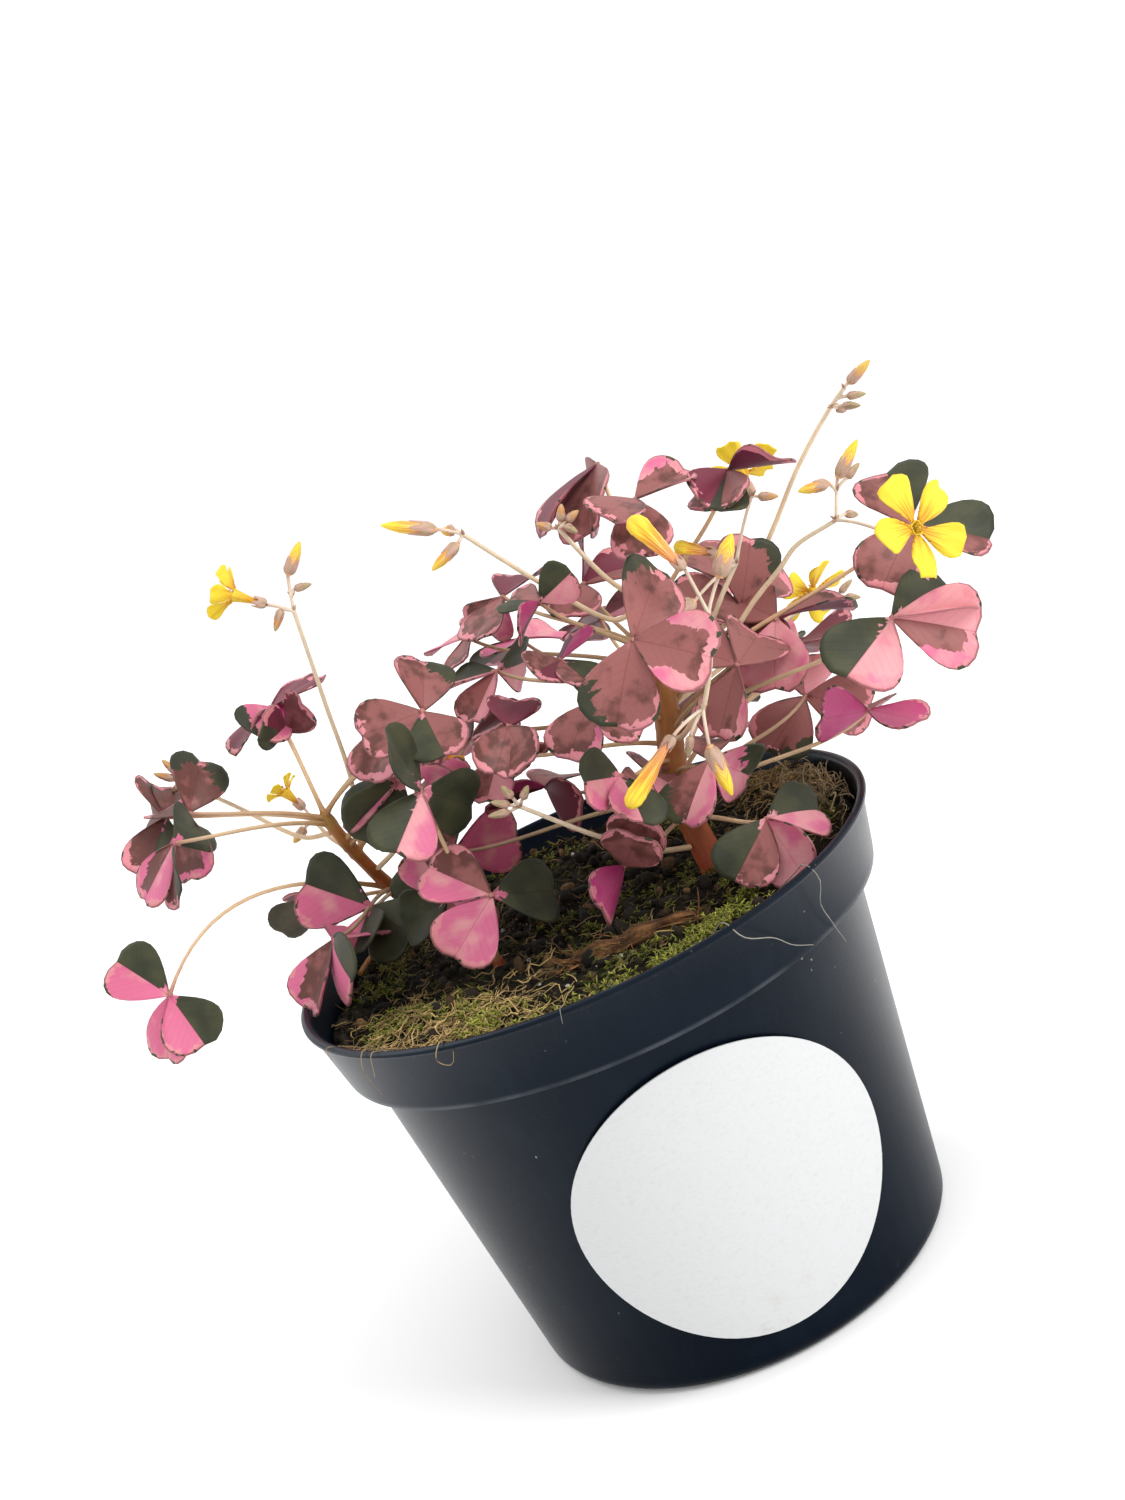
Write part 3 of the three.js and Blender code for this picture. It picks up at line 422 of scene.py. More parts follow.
def heading(bearing: Array | float, rise: Array | float) -> Array:
    """The unit vectors with those bearings and rises, in degrees."""
    tilt = np.radians(rise)
    return polar(np.cos(tilt), np.radians(bearing), np.sin(tilt))


def around(faces: int) -> Array:
    """The angles between that many faces that go once round, the first one twice."""
    return np.linspace(0, 2 * np.pi, faces + 1)


def unit(vectors: Array) -> Array:
    """The same vectors, each one long."""
    return vectors / np.linalg.norm(vectors, axis=-1, keepdims=True)


def blend(low: Array, high: Array, share: Array | float) -> Array:
    """What lies a share of the way from low to high."""
    return low + (high - low) * share


def ramp(values: Array, low: float, high: float) -> Array:
    """0 at low and before it, 1 at high and beyond it, and even between them."""
    return np.clip((values - low) / (high - low), 0, 1)


def opaque(colours: Array) -> Array:
    """The same colours with an alpha of 1."""
    return np.concatenate([colours, np.ones((*colours.shape[:-1], 1))], -1)


def paint(*colour: float) -> Array:
    """One opaque colour."""
    return opaque(np.array(colour))


def capped(rows: Array, axis: int = 0) -> Array:
    """The same rows with the first and the last one twice, for the ends of closed shoots."""
    first, last = np.take(rows, [0], axis), np.take(rows, [-1], axis)
    return np.concatenate([first, rows, last], axis)


def axes_of(axis: Array) -> tuple[Array, Array]:
    """Two unit vectors square to an axis, the first one level."""
    side = unit(np.cross(UP, axis))
    return side, np.cross(axis, side)


def spokes(side: Array, up: Array, turn: Array) -> Array:
    """The unit vectors that lie at some angles from side towards up."""
    return np.cos(turn)[:, None] * side + np.sin(turn)[:, None] * up


def through(points: Points, shares: Array) -> Array:
    """Points on the smooth curve through given points.

    Each span is a cubic whose slopes at its ends follow the Catmull-Rom rule with knots
    spaced by the square root of the distance, and the curve's ends are reflected.

    Args:
        points: The points that it passes through.
        shares: Where to read it, as shares of its run of spans.

    Returns:
        One point for each share.
    """
    points = np.array(points, float)
    ends = np.stack([2 * points[0] - points[1], 2 * points[-1] - points[-2]])
    steps = np.diff(np.concatenate([ends[:1], points, ends[1:]]), axis=0)
    gaps = np.sqrt(np.linalg.norm(steps, axis=1))[:, None]
    spans = len(points) - 1
    place = np.clip(shares, 0, 1) * spans
    span = np.minimum(place.astype(int), spans - 1)
    share = (place - span)[:, None]
    before, here, after = steps[span], steps[span + 1], steps[span + 2]
    gap_before, gap, gap_after = gaps[span], gaps[span + 1], gaps[span + 2]
    leave = before / gap_before - (before + here) / (gap_before + gap) + here / gap
    arrive = here / gap - (here + after) / (gap + gap_after) + after / gap_after
    leave, arrive = leave * gap, arrive * gap
    bend = 3 * here - 2 * leave - arrive
    twist = leave + arrive - 2 * here
    return points[span] + share * (leave + share * (bend + share * twist))


def run_of(points: Points) -> tuple[Array, Array]:
    """Close points on the curve through given points, and the length run to each of them."""
    fine = through(points, np.linspace(0, 1, 401))
    lengths = np.linalg.norm(np.diff(fine, axis=0), axis=1)
    return fine, np.concatenate([[0.0], np.cumsum(lengths)])


def along(points: Points, shares: Array) -> Array:
    """Points on the curve through given points, at shares of its length."""
    fine, run = run_of(points)
    return np.stack([np.interp(shares * run[-1], run, fine[:, axis]) for axis in range(3)], -1)


def bezier(controls: Array, count: int) -> Array:
    """Points on curves drawn by control points, each weighted by its Bernstein polynomial.

    Args:
        controls: Control points, with the curve's points and xyz last.
        count: How many points to give on each curve.

    Returns:
        Points, evenly spaced in the curve's parameter.
    """
    degree = controls.shape[-2] - 1
    share = np.linspace(0, 1, count)[:, None]
    power = np.arange(degree + 1)
    ways = np.array([comb(degree, k) for k in power])
    weights = ways * share**power * (1 - share) ** (degree - power)
    return np.einsum("tk,...kd->...td", weights, controls)


def tubes(paths: Array, radii: Array | Sequence[float], sides: int) -> Array:
    """Closed shoots along paths.

    A point is the path's point plus the radius times (cos a side + sin a up), where side and
    up are square to the path, and both ends close in a point.

    Args:
        paths: Points along each path, with xyz last.
        radii: The radius at each of them, the same on all paths or not, or at each of them
            and each angle.
        sides: How many faces go round.

    Returns:
        Grids with a row for each point of the path and a column for each angle.
    """
    run = capped(unit(np.gradient(paths, axis=-2)), -2)
    if np.ndim(radii) < paths.ndim:
        radii = np.broadcast_to(radii, paths.shape[:-1])[..., None]
    closed = np.zeros_like(radii[..., :1, :])
    radii = np.concatenate([closed, radii, closed], -2)
    upright = np.abs(run.mean(-2, keepdims=True)[..., 2:]) > 0.8
    aside = np.where(upright, np.array([1.0, 0.0, 0.0]), UP)
    side = unit(np.cross(run, aside))
    up = np.cross(run, side)
    ring = spokes(side[..., None, :], up[..., None, :], around(sides))
    return capped(paths, -2)[..., None, :] + radii[..., None] * ring


def turned(profile: Sequence[Pair] | Array, segments: int) -> Array:
    """The surface that a profile of (radius, height) points sweeps about the upright axis."""
    radius, height = np.asarray(profile, float).T[..., None]
    return polar(radius, around(segments), height)


def ripple(seed: int, where: Array, wavelength: float, octaves: int = 3) -> Array:
    """A smooth random field: sums of six sine waves in random directions.

    Each octave has waves half as long and half as high as the one before.

    Args:
        seed: Picks the directions and phases.
        where: Points to read it at, with their coordinates last.
        wavelength: The length of the longest waves.
        octaves: How many sets of waves to add.

    Returns:
        Values about zero, mostly between -1 and 1.
    """
    rng = np.random.default_rng(seed)
    total = np.zeros(where.shape[:-1])
    for octave in range(octaves):
        ways = unit(rng.normal(size=(6, where.shape[-1]))) * 2 * np.pi * 2**octave / wavelength
        phases = rng.uniform(0, 2 * np.pi, 6)
        total += np.sin(where @ ways.T + phases).sum(-1) / 3 / 2**octave
    return total


def lumps(rng: Random, centres: Array, sizes: Array) -> Array:
    """Irregular lumps: balls whose radius is size * (1 + 0.35 * sines of the direction).

    Args:
        rng: Picks each lump's shape.
        centres: Their middles.
        sizes: Their mean radii.

    Returns:
        A grid of 4 by 6 faces for each.
    """
    tilt = np.linspace(np.pi, 0, 5)[:, None]
    ways = polar(np.sin(tilt), around(6), np.cos(tilt))
    count = len(centres)
    waves = rng.normal(0, 1.7, (count, 3, 3))
    phases = rng.uniform(0, 2 * np.pi, (count, 1, 1, 3))
    wobble = np.sin(np.einsum("rcd,nde->nrce", ways, waves) + phases).mean(-1)
    stretch = rng.uniform(0.6, 1.3, (count, 1, 1, 3))
    reach = sizes[:, None, None, None] * (1 + 0.35 * wobble[..., None])
    return centres[:, None, None] + reach * ways * stretch


@dataclass
class Skin:
    """Grids of points that are sewn into one mesh.

    Attributes:
        grids: The faces, finishes, points, chart, dye and marks of each grid.
        count: How many points there are so far.
    """

    grids: list[tuple[Array, ...]] = field(default_factory=list)
    count: int = 0

    def add(
        self,
        grid: Array,
        dye: Array | Sequence[float] = (1.0, 1.0, 1.0, 1.0),
        chart: Array | None = None,
        marks: Array | Sequence[float] = (0.0, 0.0, 0.0),
        finish: int = 0,
    ) -> None:
        """Adds a grid, or a stack of grids. A face looks along its column way x row way.

        Args:
            grid: Points by row and column, with xyz last.
            dye: Their dye, or one that spreads over them.
            chart: Where they lie on the surface. Rows then columns, if it isn't given.
            marks: Further numbers for the finish.
            finish: The number of the material.
        """
        stack = grid.reshape(-1, *grid.shape[-3:])
        number, rows, columns = stack.shape[:3]
        corner = np.arange(rows * columns).reshape(rows, columns)
        corners = [corner[:-1, :-1], corner[:-1, 1:], corner[1:, 1:], corner[1:, :-1]]
        quad = np.stack(corners, -1).reshape(-1, 4)
        first = self.count + np.arange(number)[:, None, None] * rows * columns
        if chart is None:
            chart = np.stack(np.meshgrid(np.arange(rows), np.arange(columns), indexing="ij"), -1)
            chart = chart / [rows - 1, columns - 1]
        values = [
            np.broadcast_to(value, (*stack.shape[:3], size)).reshape(-1, size)
            for value, size in ((stack, 3), (chart, 2), (dye, 4), (marks, 3))
        ]
        self.grids.append(((quad + first).reshape(-1, 4), np.full(number * len(quad), finish), *values))
        self.count += number * rows * columns

    def sew(self, name: str, materials: Materials, crease: float = 40.0) -> bpy.types.Object:
        """Makes the mesh, joins points that meet, and gives its object.

        Args:
            name: The piece's name.
            materials: Its materials, in the order of the finishes.
            crease: The angle between faces, in degrees, past which an edge is sharp.

        Returns:
            The piece.
        """
        quads, finishes, points, charts, dyes, marks = map(np.concatenate, zip(*self.grids))
        mesh = bpy.data.meshes.new(name)
        mesh.vertices.add(self.count)
        mesh.vertices.foreach_set("co", (points * MM).ravel())
        mesh.loops.add(quads.size)
        mesh.loops.foreach_set("vertex_index", quads.ravel())
        mesh.polygons.add(len(quads))
        mesh.polygons.foreach_set("loop_start", np.arange(len(quads)) * 4)
        mesh.polygons.foreach_set("material_index", finishes)
        mesh.polygons.foreach_set("use_smooth", np.ones(len(quads), bool))
        mesh.update(calc_edges=True)
        mesh.uv_layers.new(name="surface").uv.foreach_set("vector", charts[quads.ravel()].ravel())
        mesh.attributes.new("dye", "FLOAT_COLOR", "POINT").data.foreach_set("color", dyes.ravel())
        mesh.attributes.new("marks", "FLOAT_VECTOR", "POINT").data.foreach_set("vector", marks.ravel())
        sewn = bmesh.new()
        sewn.from_mesh(mesh)
        bmesh.ops.remove_doubles(sewn, verts=sewn.verts, dist=1e-7)
        sewn.to_mesh(mesh)
        sewn.free()
        for material in materials:
            mesh.materials.append(material)
        mesh.set_sharp_from_angle(angle=np.radians(crease))
        piece = bpy.data.objects.new(name, mesh)
        bpy.context.scene.collection.objects.link(piece)
        return piece


def settle(piece: bpy.types.Object, slot: str, *nodes: str) -> None:
    """Lets a piece ride on the part and stand for solids.

    Args:
        piece: The piece.
        slot: Not used.
        nodes: The solids that it stands for, if any.
    """
    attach(piece, BODY)
    if nodes:
        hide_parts(*nodes)
    LOG.info("%s: %d faces, for %s", piece.name, len(piece.data.polygons), ", ".join(nodes) or "itself")


# ---- finishes


def sign(operation: str) -> Callable[["Wire", "Wire | float"], "Wire"]:
    """The method of a sign between two numbers, which adds a node that works it out."""
    return lambda wire, other: wire.recipe.sum(operation, wire, other)


@dataclass(frozen=True, eq=False)
class Wire:
    """An output of a material's node, on which the usual signs add further nodes.

    Attributes:
        recipe: The recipe that it belongs to.
        socket: The output.
    """

    recipe: "Recipe"
    socket: bpy.types.NodeSocket

    __add__, __sub__, __mul__ = sign("ADD"), sign("SUBTRACT"), sign("MULTIPLY")
    __truediv__, __gt__, __lt__ = sign("DIVIDE"), sign("GREATER_THAN"), sign("LESS_THAN")

    def __rsub__(self, other: float) -> "Wire":
        """A number less this one."""
        return self.recipe.sum("SUBTRACT", other, self)

    def __abs__(self) -> "Wire":
        """This number without its sign."""
        return self.recipe.sum("ABSOLUTE", self)


Wires = tuple[Wire, ...]
Inputs = dict[str | int, object]


class Recipe:
    """The nodes of one material, with short calls that add a node and give its output."""

    def __init__(self, name: str) -> None:
        """Starts an empty material of that name."""
        self.material = bpy.data.materials.new(name)
        self.material.use_nodes = True
        self.tree = self.material.node_tree
        self.tree.nodes.clear()

    def node(self, kind: str, inputs: Inputs, *ends: str | int, **settings: object) -> Wires:
        """Adds a node.

        Args:
            kind: Its type, without the usual prefix.
            inputs: A value or another node's output for each input.
            ends: Which of its outputs to give.
            settings: Its settings.

        Returns:
            Those outputs.
        """
        added = self.tree.nodes.new("ShaderNode" + kind)
        for key, value in settings.items():
            setattr(added, key, value)
        for key, value in inputs.items():
            if isinstance(value, Wire):
                self.tree.links.new(value.socket, added.inputs[key])
            elif isinstance(value, tuple) and len(value) == 3 and added.inputs[key].type == "RGBA":
                added.inputs[key].default_value = (*value, 1.0)
            else:
                added.inputs[key].default_value = value
        return tuple(Wire(self, added.outputs[end]) for end in ends)

    def sum(self, operation: str, *values: Wire | float) -> Wire:
        """The result of a sum on numbers."""
        return self.node("Math", dict(enumerate(values)), 0, operation=operation)[0]

    def larger(self, first: Wire, second: Wire | float) -> Wire:
        """The larger one of two numbers."""
        return self.sum("MAXIMUM", first, second)

    def between(self, share: Wire | float, low: Wire | float, high: Wire | float) -> Wire:
        """The number that lies a share of the way from low to high."""
        return self.node("Mix", {0: share, 2: low, 3: high}, 0)[0]

    def tint(self, share: Wire | float, low: Wire | Rgb, high: Wire | Rgb, mode: str = "MIX") -> Wire:
        """The colour that lies a share of the way from low to high."""
        return self.node("Mix", {0: share, 6: low, 7: high}, 2, data_type="RGBA", blend_type=mode)[0]

    def step(self, value: Wire, low: Wire | float, high: Wire | float) -> Wire:
        """0 below low, 1 above high, and smooth between them."""
        limits = {"Value": value, "From Min": low, "From Max": high}
        return self.node("MapRange", limits, 0, interpolation_type="SMOOTHSTEP")[0]

    def noise(self, where: Wire, scale: float, detail: float = 3.0, roughness: float = 0.55) -> Wire:
        """Cloudy noise from 0 to 1."""
        inputs = {"Vector": where, "Scale": scale, "Detail": detail, "Roughness": roughness}
        return self.node("TexNoise", inputs, 0)[0]

    def pull(self, where: Wire, scale: Triple) -> Wire:
        """A place scaled along each axis."""
        return self.node("Mapping", {"Vector": where, "Scale": scale}, 0)[0]

    def place(self) -> Wire:
        """The place on the object."""
        return self.node("TexCoord", {}, "Object")[0]

    def chart(self) -> Wire:
        """The place on the surface."""
        return self.node("UVMap", {}, 0, uv_map="surface")[0]

    def split(self, vector: Wire) -> Wires:
        """The three numbers of a vector."""
        return self.node("SeparateXYZ", {0: vector}, 0, 1, 2)

    def join(self, x: Wire | float, y: Wire | float, z: Wire | float) -> Wire:
        """The vector of three numbers."""
        return self.node("CombineXYZ", {0: x, 1: y, 2: z}, 0)[0]

    def dye(self) -> Wires:
        """The colour and the alpha of the mesh's dye."""
        return self.node("Attribute", {}, "Color", "Alpha", attribute_name="dye")

    def marks(self) -> Wires:
        """The three numbers of the mesh's marks."""
        return self.split(self.node("Attribute", {}, "Vector", attribute_name="marks")[0])

    def relief(self, height: Wire, strength: float, depth: float) -> Wire:
        """The normal of a surface with bumps of that depth, in metres, and how much they show."""
        return self.node("Bump", {"Height": height, "Strength": strength, "Distance": depth}, 0)[0]

    def surface(self, colour: Wire, roughness: Wire | float, **sockets: object) -> Wire:
        """A solid surface, whose other inputs are named with _ for a space."""
        inputs = {key.replace("_", " "): value for key, value in sockets.items()}
        return self.node("BsdfPrincipled", inputs | {"Base Color": colour, "Roughness": roughness}, 0)[0]

    def glow(self, share: float, shader: Wire, colour: Wire) -> Wire:
        """A surface that lets a share of the light, in a colour, come through from behind."""
        behind = self.node("BsdfTranslucent", {"Color": colour}, 0)[0]
        return self.node("MixShader", {0: share, 1: shader, 2: behind}, 0)[0]

    def close(self, shader: Wire) -> bpy.types.Material:
        """Sends a shader to the material's output, and gives the material."""
        self.node("OutputMaterial", {"Surface": shader})
        return self.material


@dataclass(frozen=True)
class PotPlastic:
    """Near-black satin plastic with matt rubbed clouds, faint drag lines and specks of dust, painted
    highlights on its lip and collar edge, and painted shade near its foot.

    Attributes:
        base: Its colour.
        dull: Its colour where it is rubbed, and on the lip, where it is a painted highlight.
        sheen: The tint of what it mirrors head on.
        dust: The colour of the specks.
        collar_edge_highlight: The colour of a painted highlight along the collar's lower edge.
        lip_highlight_height: Where the painted highlight on the lip starts, in metres.
        ledge: The height of the collar's lower edge, in metres.
        top: The height from which it has its full specular level, in metres; below it the specular level
            falls towards the foot as painted shade.
    """

    base: Rgb = (0.0022, 0.0042, 0.0085)
    dull: Rgb = (0.006, 0.010, 0.017)
    sheen: Rgb = (0.62, 0.8, 1.0)
    dust: Rgb = (0.2, 0.19, 0.17)
    collar_edge_highlight: Rgb = (0.045, 0.052, 0.06)
    lip_highlight_height: float = 0.0862
    ledge: float = 0.0727
    top: float = 0.085

    def material(self) -> bpy.types.Material:
        """Makes the material."""
        mix = Recipe("pot_plastic")
        place = mix.place()
        height = mix.split(place)[2]
        clouds = mix.noise(place, 34.0, 4.0)
        drag = mix.noise(mix.pull(place, (420.0, 420.0, 14.0)), 1.0, 2.0)
        # Painted highlight: the lip, above lip_highlight_height, takes the dull colour.
        rim = mix.step(height, self.lip_highlight_height, self.lip_highlight_height + 0.0003)
        rubbed = mix.step(clouds + drag * 0.3, 0.5, 1.0)
        colour = mix.tint(mix.larger(rubbed, rim), self.base, self.dull)
        speck = mix.step(mix.noise(place, 620.0, 1.0), 0.76, 0.8)
        dusty = mix.step(mix.noise(place, 60.0, 2.0), 0.5, 0.62)
        colour = mix.tint(speck * dusty, colour, self.dust)
        # Painted highlight: a thin pale line along the collar's lower edge, broken up by noise.
        collar_edge_highlight_line = 1.0 - mix.step(abs(height - self.ledge), 0.0003, 0.0009)
        broken = mix.step(mix.noise(place, 70.0, 4.0), 0.35, 0.65)
        colour = mix.tint(collar_edge_highlight_line * broken, colour, self.collar_edge_highlight)
        grain = mix.noise(place, 2600.0, 1.0) + drag * 0.6
        normal = mix.relief(grain, 0.12, 0.00008)
        rough = mix.between(clouds, 0.22, 0.34)
        # Painted shade: the specular level falls from the top down to the foot, so the lower wall reads
        # darker.
        gloss_with_painted_shade = mix.between(mix.step(height, 0.0, self.top), 0.04, 0.13)
        look = {"Specular_IOR_Level": gloss_with_painted_shade, "Specular_Tint": (*self.sheen, 1.0)}
        return mix.close(mix.surface(colour, rough, Normal=normal, **look))


@dataclass(frozen=True)
class LabelPaper:
    """Plain coated paper with faint fibres and a little soil along its lower edge.

    Attributes:
        base: Its colour.
        shade: Its colour in the fibres.
        soil: The colour of the smudges.
    """

    base: Rgb = (0.56, 0.565, 0.57)
    shade: Rgb = (0.5, 0.5, 0.5)
    soil: Rgb = (0.36, 0.31, 0.25)

    def material(self) -> bpy.types.Material:
        """Makes the material."""
        mix = Recipe("label_paper")
        place = mix.place()
        fibres = mix.noise(mix.pull(place, (900.0, 900.0, 2400.0)), 1.0, 4.0, 0.7)
        colour = mix.tint(mix.step(fibres, 0.45, 0.8), self.base, self.shade)
        low = 1.0 - mix.step(mix.split(place)[2], 0.008, 0.02)
        smudge = mix.step(mix.noise(place, 210.0, 5.0, 0.65), 0.56, 0.74)
        colour = mix.tint(smudge * low * 0.35, colour, self.soil)
        cockle = mix.noise(place, 70.0, 2.0) + fibres * 0.12
        normal = mix.relief(cockle, 0.25, 0.0004)
        return mix.close(mix.surface(colour, 0.5, Normal=normal, Specular_IOR_Level=0.35))


@dataclass(frozen=True)
class Peat:
    """Dark moist peat with paler crumbs and thin patches of green, and painted shade in the hollows of
    its relief.

    Attributes:
        deep: Its colour in the hollows, a painted shade.
        base: Its colour on top.
        pale: The colour of dry bits.
        green: The colour of the thin green growth.
    """

    deep: Rgb = (0.002, 0.0015, 0.001)
    base: Rgb = (0.018, 0.014, 0.007)
    pale: Rgb = (0.16, 0.11, 0.05)
    green: Rgb = (0.05, 0.062, 0.01)

    def material(self) -> bpy.types.Material:
        """Makes the material."""
        mix = Recipe("peat")
        place = mix.place()
        crumb = mix.noise(place, 520.0, 5.0, 0.7)
        # Painted shade: the hollows of the crumb relief take the near-black deep colour.
        colour = mix.tint(mix.step(crumb, 0.35, 0.62), self.deep, self.base)
        growth = mix.step(mix.noise(place, 55.0, 3.0), 0.5, 0.62)
        fine = mix.step(mix.noise(place, 900.0, 2.0), 0.48, 0.6)
        colour = mix.tint(growth * fine, colour, self.green)
        dry = mix.step(mix.noise(place, 760.0, 2.0), 0.66, 0.72)
        colour = mix.tint(dry * 0.8, colour, self.pale)
        normal = mix.relief(crumb, 1.0, 0.002)
        return mix.close(mix.surface(colour, 0.9, Normal=normal, Specular_IOR_Level=0.15))


@dataclass(frozen=True)
class Dyed:
    """A finish that takes its colour from the mesh's dye, and adds finer mottling to it.

    Attributes:
        name: The material's name.
        roughness: How rough it is.
        grain: How fine the mottling is, per metre.
        contrast: How much darker its dark patches are.
        streak: How far the mottling is drawn out along the surface, over how it is across.
        clear: The share of light that comes through it.
        relief: The depth of its bumps, in metres.
    """

    name: str
    roughness: float
    grain: float
    contrast: float
    streak: float = 1.0
    clear: float = 0.0
    relief: float = 0.0001

    def material(self) -> bpy.types.Material:
        """Makes the material."""
        mix = Recipe(self.name)
        dye = mix.dye()[0]
        cloud = mix.noise(mix.place(), self.grain, 4.0, 0.6)
        if self.streak != 1.0:
            lines = mix.noise(mix.pull(mix.chart(), (self.streak, 14.0, 1.0)), 1.0, 3.0, 0.6)
            cloud = mix.between(0.6, cloud, lines)
        shade = mix.tint(1.0, dye, (1 - self.contrast,) * 3, "MULTIPLY")
        colour = mix.tint(mix.step(cloud, 0.35, 0.68), shade, dye)
        normal = mix.relief(cloud, 0.5, self.relief)
        shader = mix.surface(colour, self.roughness, Normal=normal, Specular_IOR_Level=0.3)
        if self.clear:
            shader = mix.glow(self.clear, shader, colour)
        return mix.close(shader)


@dataclass(frozen=True)
class LeafFields:
    """What the finish of a leaf works with at each point.

    Attributes:
        flat: The place on the leaflet, in a layer of its own for each one.
        reach: How far out it lies along the midrib.
        spread: How far it lies aside of the midrib.
        vein: A number that is the same all along a side vein.
        rim: The share of the way from the hub to the edge.
        mood: How much redder the whole leaf is.
        dark: The dark share of this half.
        tint: The tint of this half, at least 0.
        vivid: 1 on a magenta half.
        stained: 1 on a half with a stain on its midrib.
        cloud: Noise for ragged edges.
        bloom: Noise for broad patches.
        ragged: How far edges wander, with a feather of side veins.
    """

    flat: Wire
    reach: Wire
    spread: Wire
    vein: Wire
    rim: Wire
    mood: Wire
    dark: Wire
    tint: Wire
    vivid: Wire
    stained: Wire
    cloud: Wire
    bloom: Wire
    ragged: Wire


@dataclass(frozen=True)
class LeafSkin:
    """One face of the leaflets: pink, mauve or wine, with dark olive zones.

    The dark share and the tint of each half come from the mesh's dye. The dark zone starts at
    the lobes and grows towards the hub, and its edge is feathered along the side veins.

    Attributes:
        name: The material's name.
        pink: The palest colour.
        rose: What it turns to in patches.
        magenta: The vivid colour of a few halves.
        mauve: The dusty colour between.
        brown: What it turns to in patches.
        wine: The deep red.
        dark: The colour of the dark zones.
        olive: What it turns to in patches.
        edge: The colour of thin edges of mauve halves.
        clear: The share of light that comes through.
        sheen: The strength of the velvety sheen.
    """

    name: str
    pink: Rgb
    rose: Rgb
    magenta: Rgb
    mauve: Rgb
    brown: Rgb
    wine: Rgb
    dark: Rgb
    olive: Rgb
    edge: Rgb
    clear: float = 0.28
    sheen: float = 0.08

    @staticmethod
    def fields(mix: Recipe) -> LeafFields:
        """Reads the mesh, and works out what the other methods share."""
        reach, across, _ = mix.split(mix.chart())
        seed, rim, mood = mix.marks()
        dye, last = mix.dye()
        halves = mix.node("SeparateColor", {0: dye}, 0, 1, 2)
        left = across > 0.5
        tint = mix.between(left, last, halves[2])
        vivid = tint < -1.5
        spread = abs(across - 0.5)
        vein = reach - spread * 0.9
        cell = seed * 37.0
        flat = mix.join(reach, across, cell)
        cloud = mix.noise(flat, 5.0, 3.0, 0.5)
        feather = mix.noise(mix.join(vein * 15.0, spread * 2.5, cell), 1.0, 2.0, 0.5)
        return LeafFields(
            *(flat, reach, spread, vein, rim, mood),
            dark=mix.between(left, halves[1], halves[0]),
            tint=mix.larger(tint, 0.0),
            vivid=vivid,
            stained=(tint < -0.5) - vivid,
            cloud=cloud,
            bloom=mix.noise(flat, 2.6, 2.0, 0.5),
            ragged=(cloud - 0.5) * 0.6 + (feather - 0.5) * 0.35,
        )

    def flush(self, mix: Recipe, at: LeafFields) -> Wire:
        """The colour of the pink, mauve and wine parts.

        Args:
            mix: The material's recipe.
            at: What is known of each point.

        Returns:
            The colour.
        """
        flame = 0.27 - at.ragged * 0.4
        inner = mix.step(at.spread, flame - 0.015, flame + 0.015)
        tip = mix.step(at.reach + at.ragged * 0.3, 0.84, 0.87)
        stain = (1.0 - mix.larger(inner, tip)) * at.stained
        tint = mix.larger(at.tint + (at.bloom - 0.5) * 0.45, stain * 0.55)
        heat = at.bloom + at.mood * 0.16 + (at.spread - 0.2) * 0.5
        pink = mix.tint(mix.step(heat, 0.33, 0.62), self.pink, self.rose)
        pink = mix.tint(at.vivid * 0.8, pink, self.magenta)
        blush = mix.noise(at.flat, 4.0, 3.0, 0.5) + at.mood * 0.14 + (at.rim - 0.5) * 0.3
        mauve = mix.tint(mix.step(blush, 0.42, 0.68), self.mauve, self.brown)
        colour = mix.tint(mix.step(tint, 0.1, 0.38), pink, mauve)
        return mix.tint(mix.step(tint, 0.55, 1.0), colour, self.wine)

    def hemmed(self, mix: Recipe, at: LeafFields, colour: Wire) -> Wire:
        """A colour with the pale hem and the thin brown rim of a leaflet.

        Args:
            mix: The material's recipe.
            at: What is known of each point.
            colour: The colour inside the hem.

        Returns:
            The colour.
        """
        brink = at.rim + (at.cloud - 0.5) * 0.55
        hem = mix.step(brink, 0.9, 0.93) * mix.step(at.reach, 0.35, 0.6)
        colour = mix.tint(hem, colour, self.edge)
        return mix.tint(mix.step(at.rim, 0.965, 0.985) * 0.6, colour, self.brown)

    def material(self) -> bpy.types.Material:
        """Makes the material: the flush, its hem, the dark zones and specks, and the veins."""
        mix = Recipe(self.name)
        at = self.fields(mix)
        colour = self.hemmed(mix, at, self.flush(mix, at))
        fleck = mix.step(mix.noise(at.flat, 8.0, 1.0, 0.5), 0.6, 0.62)
        speck = mix.step(at.rim, 0.94, 0.96) * fleck
        brim = (1.0 - at.dark) * 1.25
        zone = mix.step(at.reach * 0.72 + at.spread * 0.8 + at.ragged, brim - 0.012, brim + 0.012)
        dusk = mix.tint(mix.step(at.bloom, 0.3, 0.75), self.dark, self.olive)
        colour = mix.tint(mix.larger(zone, speck), colour, dusk)
        mottle = mix.noise(at.flat, 55.0, 3.0, 0.7)
        colour = mix.tint(mix.step(mottle, 0.4, 0.75) * 0.16, colour, (0.62, 0.55, 0.58), "MULTIPLY")
        rib = 1.0 - mix.step(mix.sum("PINGPONG", at.vein * 9.0, 0.5), 0.015, 0.09)
        midrib = 1.0 - mix.step(at.spread, 0.004, 0.014)
        lines = mix.larger(rib * 0.22, midrib * 0.5)
        colour = mix.tint(lines, colour, mix.tint(1.0, colour, (0.72, 0.5, 0.5), "MULTIPLY"))
        normal = mix.relief(mottle * 0.4 - lines, 0.45, 0.00014)
        look = {"Specular_IOR_Level": 0.4, "Sheen_Weight": self.sheen}
        shader = mix.surface(colour, mix.between(zone, 0.46, 0.56), Normal=normal, **look)
        return mix.close(mix.glow(self.clear, shader, colour))


